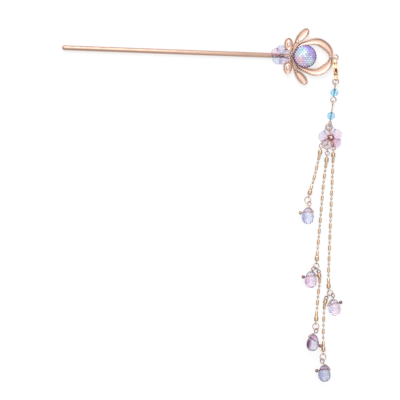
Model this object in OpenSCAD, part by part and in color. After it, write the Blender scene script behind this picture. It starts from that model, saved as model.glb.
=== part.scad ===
// Buyao hairpin laid flat: a plain stick, a stamped filigree with a fish-scale cabochon, two flower
// beads, and a dangle of links, blue beads and three fine chains with five glass drops.
// Millimetres. +X runs along the stick to the ornament, +Y up beside it, +Z off the surface.

/* [Stick] */
// Diameter of the round stick
stick_d = 2.5; // [2:0.1:3.2]
// Length of the round stick, from its tip to the shoulder of the tang
stick_l = 104.5; // [80:0.5:130]
// Thickness of the flattened tang under the ornament
tang_t = 1; // [0.8:0.1:1.4]
// Width of the tang
tang_w = 2.2; // [1.6:0.1:2.4]
// Diameter of the glue pad at the end of the tang
pad_d = 8; // [5:0.5:10]

/* [Cabochon] */
// Diameter of the cabochon
cab_d = 12; // [9:0.5:14.5]
// Height of the cabochon
cab_h = 4.2; // [3:0.1:5.5]
// Height of the cabochon's straight edge
cab_edge = 0.8; // [0.4:0.1:1.2]

/* [Filigree] */
// Length of the filigree, from the fork of its two bands to their joined tip
filigree_l = 19.9; // [16:0.1:24]
// Width of the filigree across its two bands
filigree_w = 19.2; // [15:0.1:23]
// Thickness of the stamped sheet
sheet_t = 0.8; // [0.6:0.1:1.2]
// Height of the raised rims above the sheet
rim_h = 0.4; // [0.2:0.05:0.6]
// Width of the raised rims
rim_w = 0.45; // [0.3:0.05:0.6]
// Length of each petal, from its root to its tip
petal_l = 8.5; // [6:0.1:10.5]
// Width of each petal at its round end
petal_w = 4.1; // [3:0.1:4.6]
// Height of each loop beside the fork
loop_l = 7; // [5.5:0.1:8]
// Width of each loop
loop_w = 4.2; // [3.2:0.1:4.6]

/* [Flower beads] */
// Diameter of the flower bead on the stick
stick_flower_d = 10; // [8.5:0.1:12]
// Diameter of the flower bead over the three chains
tassel_flower_d = 12; // [10:0.1:14.4]
// Thickness of a petal of either bead
bead_petal_t = 1.1; // [0.8:0.1:1.4]
// Diameter of the round bead in the middle of the lower flower
heart_d = 3.4; // [2.6:0.1:4.2]

/* [Links and beads] */
// Outer diameter of the ring at the filigree's tip
frame_ring_d = 3.6; // [3.4:0.1:4.4]
// Outer diameter of the ring under the clasp
clasp_ring_d = 3.5; // [3.4:0.1:4.4]
// Outer diameter of the ring over the lower flower
flower_ring_d = 3.8; // [3.4:0.1:4.6]
// Wire thickness of these three rings
ring_wire = 0.65; // [0.5:0.05:0.7]
// Diameter of the round blue beads
bead_d = 4; // [3.4:0.1:5]
// Wire thickness of the eye pins through the beads
pin_wire = 0.6; // [0.4:0.05:0.65]
// Outer diameter of the large eye-pin loops
pin_loop_d = 3.2; // [2.9:0.1:3.6]
// Outer diameter of the small eye-pin loop under the clasp
small_loop_d = 2.6; // [2.5:0.1:3]

/* [Clasp] */
// Outer diameter of the clasp's hook
hook_d = 4.5; // [4.2:0.1:5]
// Diameter of the opening in the hook
hook_hole_d = 2.7; // [2.4:0.1:2.8]
// Distance from the middle of the hook to the eye at the clasp's tail
clasp_l = 8.4; // [7:0.1:10.1]
// Thickness of the clasp
clasp_t = 2.1; // [1.8:0.1:2.6]
// Diameter of the lever's pivot pin
pivot_d = 0.8; // [0.6:0.05:0.9]
// Thickness of the lever
lever_t = 0.9; // [0.7:0.05:1]

/* [Chains and drops] */
// Thickness of the chains
chain_d = 1.4; // [1.1:0.1:1.7]
// Diameter of the end caps
cap_d = 2; // [1.8:0.05:2.4]
// Length of an end cap's barrel
cap_l = 2.3; // [1.8:0.1:3]
// Wire thickness of the small rings and of the drops' pins
fine_wire = 0.45; // [0.35:0.05:0.55]
// Outer diameter of the rings at the chains' lower ends
end_ring_d = 3.6; // [3.3:0.1:4.3]
// Outer diameter of the rings in the middle of two chains
mid_ring_d = 3.3; // [3.1:0.1:4]
// Length of a glass drop
drop_l = 8.5; // [7:0.1:10.7]
// Largest diameter of a glass drop
drop_d = 6; // [5:0.1:7.7]
// Diameter of the ball on each drop's pin
tip_ball_d = 1.8; // [1.2:0.1:2.2]

/* [Clearances] */
// Gap between glued or seated pieces
seat = 0.05; // [0.03:0.01:0.1]
// Play between two linked rings
play = 0.06; // [0.04:0.01:0.1]
// Radial clearance around wires and pins
ease = 0.08; // [0.05:0.01:0.1]

/* [Hidden] */
$fn = 40;

// The chains' routes from the mouth of one end cap to the next, in plan from their own start
CHAIN_A = [[0, 0], [-0.5, -2.5], [-1.3, -7], [-2.4, -12.4], [-3.2, -15.3], [-3.8, -17.6]];
CHAIN_B_UPPER = [[0, 0], [-0.3, -2.5], [-1, -10], [-1.7, -24], [-2.6, -41.4], [-2.8, -44.2], [-2.9, -46.8]];
CHAIN_B_LOWER = [[0, 0], [0.2, -1.6], [0.1, -3.4], [-0.3, -6.4], [-0.6, -12.2], [-0.8, -16.8], [-0.9, -19.1]];
CHAIN_C_UPPER = [[0, 0], [0, -2.5], [-0.1, -19], [-0.2, -40], [-0.2, -57.4], [-0.1, -60.5], [0, -63]];
CHAIN_C_LOWER = [[0, 0], [-0.1, -2.5], [-0.1, -8], [-0.1, -14], [0.1, -18.8], [0.2, -21.2]];

// How each linked piece leads on, in degrees towards +X from straight down
CLASP_LINE = 4.8;
CLASP_RING_LINE = -5;
UPPER_PIN_LINE = -5;
LOWER_PIN_LINE = -6;
FLOWER_RING_LINE = -14;
CONNECTOR_LINE = 9;

// Heights of the stacked pieces over the surface
axis_z = stick_d / 2;
tang_top = axis_z + tang_t / 2;
sheet_z = tang_top + seat;
sheet_top = sheet_z + sheet_t;
cab_z = sheet_top + seat;

// Places along the stick's line
fork_x = stick_l + stick_flower_d + 0.1;
cab_x = fork_x + 0.9 + cab_d / 2;
tip_x = fork_x + filigree_l;
flower_x = stick_l + stick_flower_d / 2;

// A heading as a direction in plan, and a step along it
function aim(line) = [sin(line), -cos(line), 0];
function go(p, line, d) = p + d * aim(line);
function at_height(p, z) = [p[0], p[1], z];

// A ring is its mean radius and its wire's radius, and a linked ring hangs this far on
function ring_of(outer_d, wire_d) = [(outer_d - wire_d) / 2, wire_d / 2];
function hole(ring) = ring[0] - ring[1];
function link(a, b, slack = 0) = hole(a) + hole(b) - play - slack;
// A ring that holds a flat bar lies this much closer to it than one that holds a wire
function nip(ring, wide) = hole(ring) - sqrt(pow(hole(ring), 2) - wide * wide / 4);
// Slack for two rings that stand askew to each other
ASKEW = 0.14;

frame_ring = ring_of(frame_ring_d, ring_wire);
clasp_ring = ring_of(clasp_ring_d, ring_wire);
flower_ring = ring_of(flower_ring_d, ring_wire);
end_ring = ring_of(end_ring_d, fine_wire);
mid_ring = ring_of(mid_ring_d, fine_wire);
large_loop = ring_of(pin_loop_d, pin_wire);
small_loop = ring_of(small_loop_d, pin_wire);
eyelet = [ring_wire + 0.15, 0.3];
small_eyelet = [0.85, 0.27];
cap_eye = [0.82, 0.2];
hook = [hook_hole_d / 2 + 0.45, 0.45];
tail = [1.1, 0.42];

// Heights of the links: those of the clasp, of the beads, and of the three chains
link_z = sheet_z + sheet_t * 0.75;
clasp_z = hook_d / 2 + 0.1;
bead_z = bead_d / 2 + 0.05;
link_ring_d = 2.4;
low_z = max(cap_d + 0.2, link_ring_d + 0.05) / 2;
chain_z = chain_d / 2 + 0.02;

// The middle of each linked piece, each from the one before it
eyelet_p = [tip_x + 0.45, 0, link_z];
frame_ring_p = eyelet_p + link(frame_ring, eyelet) * [1, 0, 0];
clasp_crown_w = 0.6 * clasp_t;
clasp_tail_w = 0.52 * clasp_t;
hook_slack = nip(frame_ring, clasp_crown_w) + ease;
tail_slack = nip(clasp_ring, clasp_tail_w) + 2 * ease;
clasp_p = at_height(go(frame_ring_p, CLASP_LINE, link(frame_ring, hook, hook_slack)), clasp_z);
tail_p = go(clasp_p, CLASP_LINE, clasp_l);
clasp_ring_z = (clasp_z + bead_z) / 2;
clasp_ring_p = at_height(go(tail_p, CLASP_RING_LINE, link(clasp_ring, tail, tail_slack)), clasp_ring_z);
stem_short = 0.5;
stem_long = 2.6;
upper_top = small_loop[0] + small_loop[1] + stem_short + bead_d / 2;
upper_low = large_loop[0] + large_loop[1] + bead_d / 2;
upper_loop_p = at_height(go(clasp_ring_p, CLASP_RING_LINE, link(clasp_ring, small_loop)), bead_z);
upper_bead_p = go(upper_loop_p, UPPER_PIN_LINE, upper_top);
upper_end_p = go(upper_bead_p, UPPER_PIN_LINE, upper_low);
lower_top = large_loop[0] + large_loop[1] + stem_long + bead_d / 2;
lower_low = large_loop[0] + large_loop[1] + stem_short + bead_d / 2;
lower_loop_p = go(upper_end_p, LOWER_PIN_LINE, link(large_loop, large_loop));
lower_bead_p = go(lower_loop_p, LOWER_PIN_LINE, lower_top);
lower_end_p = go(lower_bead_p, LOWER_PIN_LINE, lower_low);
flower_ring_z = bead_z - 0.4;
flower_ring_slack = 4 * ASKEW;
flower_ring_gap = link(flower_ring, large_loop, flower_ring_slack);
flower_ring_p = at_height(go(lower_end_p, FLOWER_RING_LINE, flower_ring_gap), flower_ring_z);
top_eye_z = flower_ring_z - 0.1;
top_eye_p = at_height(go(flower_ring_p, -FLOWER_RING_LINE, link(flower_ring, eyelet)), top_eye_z);

// The connector under the lower flower: a disc with an arm and an eye for each thing that it carries
connector_t = 0.8;
connector_z = low_z;
connector_disc_d = 4;
TOP_ARM = 3.7;
// Columns: direction from the disc in degrees, length, heading of what hangs there
ARMS = [[204, 5.05, -8], [236, 3.4, -2], [285, 4.2, 0]];
function arm_angle(arm) = arm[0];
function arm_length(arm) = arm[1];
function arm_line(arm) = arm[2];
connector_p = at_height(go(top_eye_p, CONNECTOR_LINE, TOP_ARM), 0);
function arm_p(arm) = connector_p + arm_length(arm)
    * [cos(arm_angle(arm) + CONNECTOR_LINE), sin(arm_angle(arm) + CONNECTOR_LINE), 0] + [0, 0, low_z];

// The small rings between the connector and the chains
left_ring = ring_of(2.6, fine_wire);
middle_ring = ring_of(2.9, fine_wire);
low_ring = ring_of(2.5, fine_wire);
link_ring = ring_of(link_ring_d, fine_wire);
left_ring_p = go(arm_p(ARMS[0]), arm_line(ARMS[0]), link(left_ring, small_eyelet));
middle_ring_p = go(arm_p(ARMS[1]), arm_line(ARMS[1]), link(middle_ring, small_eyelet));
MIDDLE_LINK_LINE = 3;
middle_link_p = go(middle_ring_p, MIDDLE_LINK_LINE, link(middle_ring, link_ring));
middle_low_p = go(middle_link_p, MIDDLE_LINK_LINE, link(low_ring, link_ring));
right_ring_p = go(arm_p(ARMS[2]), arm_line(ARMS[2]), link(low_ring, small_eyelet));

// An end cap from the middle of its eye to its mouth
cap_reach = cap_eye[0] + cap_l;
CAP_LINE_A = -9;
CAP_LINE_B = -4;
CAP_LINE_C = 0;
cap_a_top_p = go(left_ring_p, CAP_LINE_A, link(left_ring, cap_eye));
cap_b_top_p = go(middle_low_p, CAP_LINE_B, link(low_ring, cap_eye));
cap_c_top_p = go(right_ring_p, CAP_LINE_C, link(low_ring, cap_eye));

// A chain starts at a cap's mouth; its last stretch gives the heading of the cap at its lower end
mouth_gap = 0.22;
function mouth(cap_p, line) = go(cap_p, line, cap_reach + mouth_gap);
function route(start, plan) = [
    for (i = [0:len(plan) - 1])
        [start[0] + plan[i][0], start[1] + plan[i][1], i == 0 || i == len(plan) - 1 ? low_z : chain_z]
];
function last_line(plan) = let (d = plan[len(plan) - 1] - plan[len(plan) - 2]) atan2(d[0], -d[1]);
function low_cap_p(route, plan) = go(route[len(route) - 1], last_line(plan), cap_reach + mouth_gap);

route_a = route(mouth(cap_a_top_p, CAP_LINE_A), CHAIN_A);
cap_a_end_p = low_cap_p(route_a, CHAIN_A);
route_b_upper = route(mouth(cap_b_top_p, CAP_LINE_B), CHAIN_B_UPPER);
cap_b_mid_p = low_cap_p(route_b_upper, CHAIN_B_UPPER);
route_c_upper = route(mouth(cap_c_top_p, CAP_LINE_C), CHAIN_C_UPPER);
cap_c_mid_p = low_cap_p(route_c_upper, CHAIN_C_UPPER);

// The rings in the middle of two chains carry a drop on one side and the lower chain on the other
raise = [0, 0, 0.1];
MID_RING_B = -2;
LOW_LINK_B = 17;
LOW_CAP_B = 38;
LOW_CHAIN_B = 11;
ring_b_mid_p = go(cap_b_mid_p, MID_RING_B, link(mid_ring, cap_eye)) + raise;
link_b_p = go(ring_b_mid_p, LOW_LINK_B, link(mid_ring, link_ring, ASKEW / 2));
cap_b_low_p = at_height(go(link_b_p, LOW_CAP_B, link(link_ring, cap_eye, ASKEW)), low_z);
route_b_lower = route(mouth(cap_b_low_p, LOW_CHAIN_B), CHAIN_B_LOWER);
cap_b_end_p = low_cap_p(route_b_lower, CHAIN_B_LOWER);
MID_RING_C = 30;
LOW_LINK_C = -38;
LOW_CAP_C = -30;
LOW_CHAIN_C = -14;
ring_c_mid_p = go(cap_c_mid_p, MID_RING_C, link(mid_ring, cap_eye, 1.8 * ASKEW)) + raise;
link_c_p = go(ring_c_mid_p, LOW_LINK_C, link(mid_ring, link_ring, ASKEW));
cap_c_low_p = at_height(go(link_c_p, LOW_CAP_C, link(link_ring, cap_eye)), low_z);
route_c_lower = route(mouth(cap_c_low_p, LOW_CHAIN_C), CHAIN_C_LOWER);
cap_c_end_p = low_cap_p(route_c_lower, CHAIN_C_LOWER);
END_RING_C = -4;
ring_a_end_p = go(cap_a_end_p, last_line(CHAIN_A), link(end_ring, cap_eye)) + raise;
ring_b_end_p = go(cap_b_end_p, 0, link(end_ring, cap_eye)) + raise;
ring_c_end_p = go(cap_c_end_p, END_RING_C, link(end_ring, cap_eye)) + raise;

// A drop's outline: its half width and height at an angle from the bottom, with a slimmer top
DROP_TAPER = 0.18;
// It lies tilted on its belly, so that the loop on its neck comes down to the height of the ring
belly_z = drop_d / 2 + 0.14;
drop_loop_z = low_z + 0.345;
drop_reach = drop_l / 2 + 1.98;
drop_tilt = asin((belly_z - drop_loop_z) / drop_reach);
function drop_r(a) = drop_d / 2 * sin(a) * (1 + DROP_TAPER * cos(a));
function drop_y(a) = -drop_l / 2 * cos(a);
function drop_side(a, side, off = 0) = let (
    t = [drop_r(a + 1) - drop_r(a - 1), drop_y(a + 1) - drop_y(a - 1)],
    n = [t[1], -t[0]] / norm(t)
) [side * (drop_r(a) + off * n[0]), drop_y(a) + off * n[1]];
drop_z = max([for (a = [0:5:180]) drop_r(a) * cos(drop_tilt) + drop_y(a) * sin(drop_tilt)]) + 0.03;

// Each drop's ring and loop, how it hangs, and where its pin goes in and out of the glass
// Columns: ring's middle, ring, loop, heading to the loop, neck's heading, drop's heading, side of the
// ball, angles round the outline of the ball and of the bend, and the side that the ring leans to
end_loop = ring_of(2.7, fine_wire);
mid_loop = ring_of(2.6, fine_wire);
DROP_A = [ring_a_end_p, end_ring, end_loop, 25, -21, 3, -1, 112, 112, 1];
DROP_B_MID = [ring_b_mid_p, mid_ring, mid_loop, -47, -44, 2, -1, 110, 114, -1];
DROP_B_END = [ring_b_end_p, end_ring, end_loop, 7, -26, -8, 1, 84, 126, 1];
DROP_C_MID = [ring_c_mid_p, mid_ring, mid_loop, 52, 16, 5, 1, 122, 104, 1];
DROP_C_END = [ring_c_end_p, end_ring, end_loop, -9, 22, 5, -1, 112, 114, -1];
function d_ring_p(d) = d[0];
function d_ring(d) = d[1];
function d_loop(d) = d[2];
function d_line(d) = d[3];
function d_neck(d) = d[4];
function d_head(d) = d[5];
function d_side(d) = d[6];
function d_ball(d) = d[7];
function d_bend(d) = d[8];
function d_lean(d) = d[9];

// In the drop's own plane, the neck leads from the loop's middle to the top of the glass
function neck_l(d) = d_loop(d)[0] + fine_wire + 0.6;
function loop_local(d) = let (lean = d_neck(d) - d_head(d))
    [0, drop_l / 2] + neck_l(d) * [-sin(lean), cos(lean)];
function drop_p(d) = let (
    loop_p = go(d_ring_p(d), d_line(d), link(d_ring(d), d_loop(d), 1.2 * ASKEW)),
    q = loop_local(d),
    x = q[0],
    y = q[1] * cos(drop_tilt),
    h = d_head(d)
) [loop_p[0] - x * cos(h) + y * sin(h), loop_p[1] - x * sin(h) - y * cos(h), drop_z];

// Shapes that several pieces share
module place(p, line = 0) translate(p) rotate(line) children();

// A torus: flat at roll 0, standing on its edge along its heading at roll 90
module loop_ring(ring, roll = 0)
    rotate([0, roll, 0]) rotate_extrude($fn = 48) translate([ring[0], 0]) circle(ring[1], $fn = 20);

module ring_at(p, line, ring, roll = 0) place(p, line) loop_ring(ring, roll);

// A closed tube swept along a list of points
function unit(v) = v / norm(v);
function tangent(pts, i) = unit(pts[min(i + 1, len(pts) - 1)] - pts[max(i - 1, 0)]);
module tube(pts, r, sides = 8) {
    up = [0, 0, 1];
    verts = [
        for (i = [0:len(pts) - 1])
            let (t = tangent(pts, i), s = unit(cross(t, up)), u = cross(s, t))
            for (k = [0:sides - 1]) pts[i] + r * (cos(360 * k / sides) * s + sin(360 * k / sides) * u)
    ];
    sides_faces = [
        for (i = [0:len(pts) - 2], k = [0:sides - 1])
            let (a = i * sides + k, b = i * sides + (k + 1) % sides)
            [a, b, b + sides, a + sides]
    ];
    last = (len(pts) - 1) * sides;
    caps = [[for (k = [sides - 1:-1:0]) k], [for (k = [0:sides - 1]) last + k]];
    polyhedron(verts, concat(sides_faces, caps), convexity = 4);
}

// Points at even steps along a route
function leg(pts, i) = norm(pts[i + 1] - pts[i]);
function walked(pts, i) = i == 0 ? 0 : walked(pts, i - 1) + leg(pts, i - 1);
function along(pts, s, i = 0) = i == len(pts) - 2 || s <= leg(pts, i)
    ? pts[i] + (pts[i + 1] - pts[i]) * s / leg(pts, i)
    : along(pts, s - leg(pts, i), i + 1);
module chain(route) {
    total = walked(route, len(route) - 1);
    steps = ceil(total / (2.5 * chain_d));
    color("tan") tube([for (i = [0:steps]) along(route, min(total * i / steps, total - 0.001))], chain_d / 2);
}

// A five-petalled bead: a dish cut to five round petals, with a bore for its pin
module flower_bead(d, rise, bore_d) {
    petal_r = d * 0.235;
    hub_r = d * 0.12;
    lift = (d / 2 - hub_r) * tan(rise);
    difference() {
        intersection() {
            rotate_extrude() polygon([
                [0, 0], [hub_r, 0], [d / 2, lift], [d / 2, lift + bead_petal_t],
                [hub_r, bead_hub_t], [0, bead_hub_t]
            ]);
            union() {
                for (k = [0:4])
                    rotate(72 * k) translate([d / 2 - petal_r, 0, 0]) cylinder(r = petal_r, h = d);
                cylinder(r = d * 0.2, h = d);
            }
        }
        translate([0, 0, -1]) cylinder(d = bore_d + 2 * ease, h = d);
    }
}

// Outline of a strip between two edges that follow a table of stations
// Columns of a station: place along, place across, half width
function strip(stations, inset) = let (n = len(stations)) concat(
    [for (i = [0:n - 1]) edge(stations, i, max(stations[i][2] - inset, 0.05))],
    [for (i = [n - 1:-1:0]) edge(stations, i, -max(stations[i][2] - inset, 0.05))]
);
function edge(stations, i, off) = let (
    a = stations[max(i - 1, 0)],
    b = stations[min(i + 1, len(stations) - 1)],
    d = [b[0] - a[0], b[1] - a[1]],
    n = [-d[1], d[0]] / norm(d)
) [stations[i][0], stations[i][1]] + off * n;

// Stations between the chosen ones, on a smooth curve through them
function smooth(p, steps = 3) = [
    for (i = [0:len(p) - 2], k = [0:steps - 1])
        let (a = p[max(i - 1, 0)], b = p[i], c = p[i + 1], d = p[min(i + 2, len(p) - 1)], t = k / steps)
        b + 0.5 * t * ((c - a) + t * (2 * a - 5 * b + 4 * c - d) + t * t * (3 * b - a - 3 * c + d)),
    p[len(p) - 1]
];

// The upper band, from the fork round the cabochon to the tip
// Columns: share of the filigree's length, of its width, and half width as a share of that width
BAND = [
    [0, 0, 0.02], [0.1, 0.165, 0.045], [0.22, 0.29, 0.055], [0.375, 0.355, 0.065],
    [0.54, 0.395, 0.085], [0.69, 0.385, 0.1], [0.84, 0.3, 0.105], [0.955, 0.175, 0.085],
    [0.99, 0.07, 0.05], [0.975, 0, 0.03]
];
function band() = smooth([for (b = BAND) [b[0] * filigree_l, b[1] * filigree_w, b[2] * filigree_w]]);

// The stem from the fork to the root of the petal
STEM = [[-0.03, 0.01, 0.03], [0.03, 0.13, 0.05], [0.08, 0.25, 0.055], [0.13, 0.38, 0.05]];
function stem() = smooth([for (b = STEM) [b[0] * filigree_l, b[1] * filigree_w, b[2] * filigree_w]]);

// The petal, from its root along its own line
// Columns: share of its length, half width as a share of its width
PETAL = [
    [0, 0.2], [0.15, 0.32], [0.3, 0.43], [0.48, 0.49], [0.66, 0.5], [0.8, 0.455], [0.91, 0.35],
    [0.975, 0.2], [1, 0.06]
];
PETAL_LINE = 48;
petal_root = [0.115 * filigree_l, 0.375 * filigree_w];
module petal_plan(inset)
    translate(petal_root) rotate(PETAL_LINE) translate([inset, 0])
        polygon(strip(smooth([for (s = PETAL) [s[0] * (petal_l - 2 * inset), 0, s[1] * petal_w]]), inset));

// The loop beside the fork, an oval with a slot in it
// It touches the stem's edge half way between the stem's two middle stations
loop_grip = 0.07;
STEM_HALF = (STEM[1][2] + STEM[2][2]) / 2 * filigree_w;
stem_side = edge([for (b = [STEM[1], (STEM[1] + STEM[2]) / 2, STEM[2]])
    [b[0] * filigree_l, b[1] * filigree_w, b[2] * filigree_w]], 1, STEM_HALF);
loop_y = loop_l * 0.82;
loop_bulge = loop_w / 2 * sqrt(1 - pow((loop_y - stem_side[1]) / (loop_l / 2), 2));
loop_mid = [stem_side[0] + loop_grip - loop_bulge, loop_y];
function oval(rx, ry) = [for (a = [0:12:348]) [rx * cos(a), ry * sin(a)]];
module loop_plan(inset) translate(loop_mid) polygon(oval(loop_w / 2 - inset, loop_l / 2 - inset));
module loop_slot(grow)
    translate(loop_mid + [0.3, 0.3]) polygon(oval(loop_w * 0.12 + grow, loop_l * 0.15 + grow));

module filigree_plan(inset) {
    polygon(strip(band(), inset));
    polygon(strip(stem(), inset));
    petal_plan(inset);
    difference() {
        loop_plan(inset);
        loop_slot(inset == 0 ? 0 : rim_w);
    }
}

// The whole hairpin is moved so that the middle of its outline lies over the origin
top_y = petal_root[1]
    + max([for (p = PETAL) p[0] * petal_l * sin(PETAL_LINE) + p[1] * petal_w * cos(PETAL_LINE)]);
low_y = drop_p(DROP_C_END)[1] - drop_l / 2 * cos(drop_tilt);
right_x = drop_p(DROP_C_MID)[0] + drop_d / 2 + tip_ball_d / 2;
middle = [right_x / 2, (top_y + low_y) / 2];
module lay_out() translate([-middle[0], -middle[1], 0]) children();

module both_sides() {
    children();
    mirror([0, 1, 0]) children();
}

// The clasp in its own side view: u runs from the hook to the tail, w up from its line
pivot_u = 2.9;
pivot_w = 0.3;
gate_r = 3.45;
slot_end = 5.6;
module clasp_side(thick) rotate([90, 0, -90]) translate([0, 0, -thick / 2]) linear_extrude(thick) children();
module clasp_hole(u, d) rotate([90, 0, -90]) translate([u, 0, -clasp_t]) cylinder(d = d, h = 2 * clasp_t);
module clasp_pivot(d, long)
    rotate([90, 0, -90]) translate([pivot_u, pivot_w, -long / 2]) cylinder(d = d, h = long);

// A drop's own frame: its middle, its axis along its heading, tilted so that its slim top lies lower
module in_drop(d) place(drop_p(d), d_head(d)) rotate([-drop_tilt, 0, 0]) children();

module glass_drop(d, tint) {
    a = drop_side(d_ball(d), d_side(d));
    b = drop_side(d_bend(d), -d_side(d));
    turn = atan2(b[1] - a[1], b[0] - a[0]);
    color(tint) in_drop(d) difference() {
        rotate([-90, 0, 0]) rotate_extrude($fn = 48) polygon(concat(
            [[0, drop_y(0)]],
            [for (k = [10:10:170]) [drop_r(k), drop_y(k)]],
            [[0, drop_y(180)]]
        ));
        translate([a[0], a[1], 0]) rotate(turn) translate([-drop_d / 2, 0, 0]) rotate([0, 90, 0])
            cylinder(d = fine_wire + 2 * ease, h = 2 * drop_d);
    }
}

// A drop's pin: a ball, a straight stretch through the glass, a bend up its side, and a loop
module drop_pin(d) {
    a = drop_side(d_ball(d), d_side(d));
    b = drop_side(d_bend(d), -d_side(d));
    along_bore = unit(b - a);
    hug = fine_wire / 2 + 1.5 * ease;
    ball = a - along_bore * (tip_ball_d / 2 + 2 * ease);
    out = b + along_bore * hug * 1.4;
    loop_c = loop_local(d);
    plan = concat(
        [ball, b, out],
        [for (k = [d_bend(d) + 14:12:168]) drop_side(k, -d_side(d), hug)],
        [loop_c + d_loop(d)[0] * unit([0, drop_l / 2] - loop_c)]
    );
    lean = atan2(-loop_c[0], loop_c[1] - drop_l / 2);
    color("rosybrown") in_drop(d) {
        // Turned, so that the ball's seam is clear of the wire and they join cleanly
        translate([ball[0], ball[1], 0]) rotate(90) sphere(d = tip_ball_d);
        tube([for (p = plan) [p[0], p[1], 0]], fine_wire / 2);
        translate([loop_c[0], loop_c[1], 0]) rotate(lean) loop_ring(d_loop(d), LOOP_ROLL * d_lean(d));
    }
}

module stick() color("rosybrown") {
    translate([axis_z, 0, axis_z]) rotate([0, 90, 0]) cylinder(d = stick_d, h = stick_l - axis_z);
    translate([axis_z, 0, axis_z]) sphere(d = stick_d);
    translate([stick_l - 1, -tang_w / 2, tang_top - tang_t]) cube([cab_x - stick_l + 1, tang_w, tang_t]);
    translate([cab_x, 0, tang_top - tang_t]) cylinder(d = pad_d, h = tang_t);
}

// The filigree's two halves meet in a boss at the fork and another at the tip
fork_boss_d = 2;
tip_boss_d = 1.4;
boss_h = sheet_t + rim_h + 0.1;
module filigree() color("rosybrown") {
    difference() {
        translate([fork_x, 0, sheet_z]) {
            both_sides() {
                linear_extrude(sheet_t) filigree_plan(0);
                linear_extrude(sheet_t + rim_h) difference() {
                    filigree_plan(0);
                    filigree_plan(rim_w);
                    translate([cab_x - fork_x, 0]) circle(d = cab_d + 2 * ease);
                }
            }
            translate([-0.2, 0, 0]) cylinder(d = fork_boss_d, h = boss_h);
            translate([filigree_l - 0.3, 0, 0]) cylinder(d = tip_boss_d, h = boss_h);
        }
        place(at_height(frame_ring_p, sheet_z - 1)) cylinder(d = frame_ring_d + 2 * ease, h = boss_h + 2);
    }
    translate([cab_x, 0, sheet_z]) cylinder(d = cab_d * 0.86, h = sheet_t);
    place(eyelet_p) rotate([90, 0, 0]) loop_ring(eyelet);
}

module cabochon() {
    cap_h = cab_h - cab_edge;
    dome_r = (cab_d * cab_d / 4 + cap_h * cap_h) / (2 * cap_h);
    color("plum") translate([cab_x, 0, cab_z]) intersection() {
        cylinder(d = cab_d, h = cab_h);
        translate([0, 0, cab_h - dome_r]) sphere(dome_r, $fn = 80);
    }
}

// The bead's petals rise clear of the loops of the filigree beside them
STICK_FLOWER_TURN = 158;
STICK_FLOWER_RISE = 30;
stick_flower_bore = 0.6;
module stick_flower() color("thistle")
    translate([flower_x, 0, tang_top + seat]) rotate(STICK_FLOWER_TURN)
        flower_bead(stick_flower_d, STICK_FLOWER_RISE, stick_flower_bore);

module stick_flower_pin() color("rosybrown") translate([flower_x, 0, tang_top + seat]) {
    cylinder(d = stick_flower_bore, h = bead_hub_t + 0.3);
    translate([0, 0, bead_hub_t + 0.5]) sphere(d = 1);
}

module ring_frame() color("rosybrown") ring_at(frame_ring_p, 90, frame_ring);

// Half the clasp's width, in plan from the hook to the tail
clasp_plan = [
    [-hook_d * 0.52, clasp_crown_w * 0.36], [-hook_hole_d / 2, clasp_crown_w / 2],
    [-hook_hole_d * 0.15, clasp_t * 0.43], [hook_hole_d * 0.15, clasp_t / 2], [clasp_l - 2, clasp_t / 2],
    [clasp_l - 1, clasp_t * 0.36], [clasp_l, clasp_tail_w / 2], [clasp_l + 1.2, clasp_tail_w / 2]
];

module clasp_body() color("burlywood") place(clasp_p, CLASP_LINE) {
    difference() {
        intersection() {
            clasp_side(clasp_t) {
                circle(d = hook_d);
                translate([clasp_l / 2 - 0.5, -0.1]) polygon(oval(clasp_l / 2 - 0.9, 1.95));
                translate([clasp_l - 2.4, -0.65]) square([2, 1.3]);
                translate([clasp_l, 0]) circle(tail[0]);
            }
            translate([0, 0, -hook_d]) linear_extrude(2 * hook_d) polygon(concat(
                [for (q = clasp_plan) [q[1], -q[0]]],
                [for (i = [len(clasp_plan) - 1:-1:0]) [-clasp_plan[i][1], -clasp_plan[i][0]]]
            ));
        }
        clasp_hole(0, hook_hole_d);
        clasp_hole(clasp_l, 2 * hole(tail));
        // The mouth of the hook, swept by the lever's end
        rotate([90, 0, -90]) translate([pivot_u, pivot_w, -clasp_t]) intersection() {
            cylinder(r = gate_r + ease, h = 2 * clasp_t, $fn = 80);
            translate([-gate_r - 1, 0.35, 0]) cube([gate_r - 0.4, 4, 2 * clasp_t]);
        }
        // The slot that holds the lever
        clasp_side(lever_t + 2 * ease) translate([0.5, -1.1]) square([slot_end - 0.5, 5]);
    }
    clasp_pivot(pivot_d, clasp_t);
}

// The lever: a gate that ends on the arc of the hook's mouth, a hub on the pivot, and a thumb tab
function about_pivot(r, a) = [pivot_u + r * cos(a), pivot_w + r * sin(a)];
hub_r = pivot_d / 2 + 0.45;
LEVER = concat(
    [for (a = [147:3.5:161]) about_pivot(gate_r, a)],
    [[0.9, 1.3], [1.6, 0.8]],
    [for (a = [170:20:410]) about_pivot(hub_r, a)],
    [[3.7, 1.3], [3.7, 2.2], [3.3, 2.7], [2.6, 2.6], [2.3, 1.95], [1.6, 1.8], [0.8, 2.05]]
);
module clasp_lever() color("burlywood") place(clasp_p, CLASP_LINE) difference() {
    clasp_side(lever_t) polygon(LEVER);
    clasp_pivot(pivot_d + ease, 2 * clasp_t);
}

module ring_clasp() color("rosybrown") ring_at(clasp_ring_p, CLASP_RING_LINE, clasp_ring);

// An eye pin about the middle of its bead: a stem through it and a loop at each end
module eye_pin(top, top_ring, top_roll, low, low_ring, low_roll) color("rosybrown") {
    stem = top + low - top_ring[0] - low_ring[0];
    translate([0, low_ring[0] - low, 0]) rotate([-90, 0, 0]) cylinder(d = pin_wire, h = stem, $fn = 24);
    translate([0, top, 0]) loop_ring(top_ring, top_roll);
    translate([0, -low, 0]) loop_ring(low_ring, low_roll);
}

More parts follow.
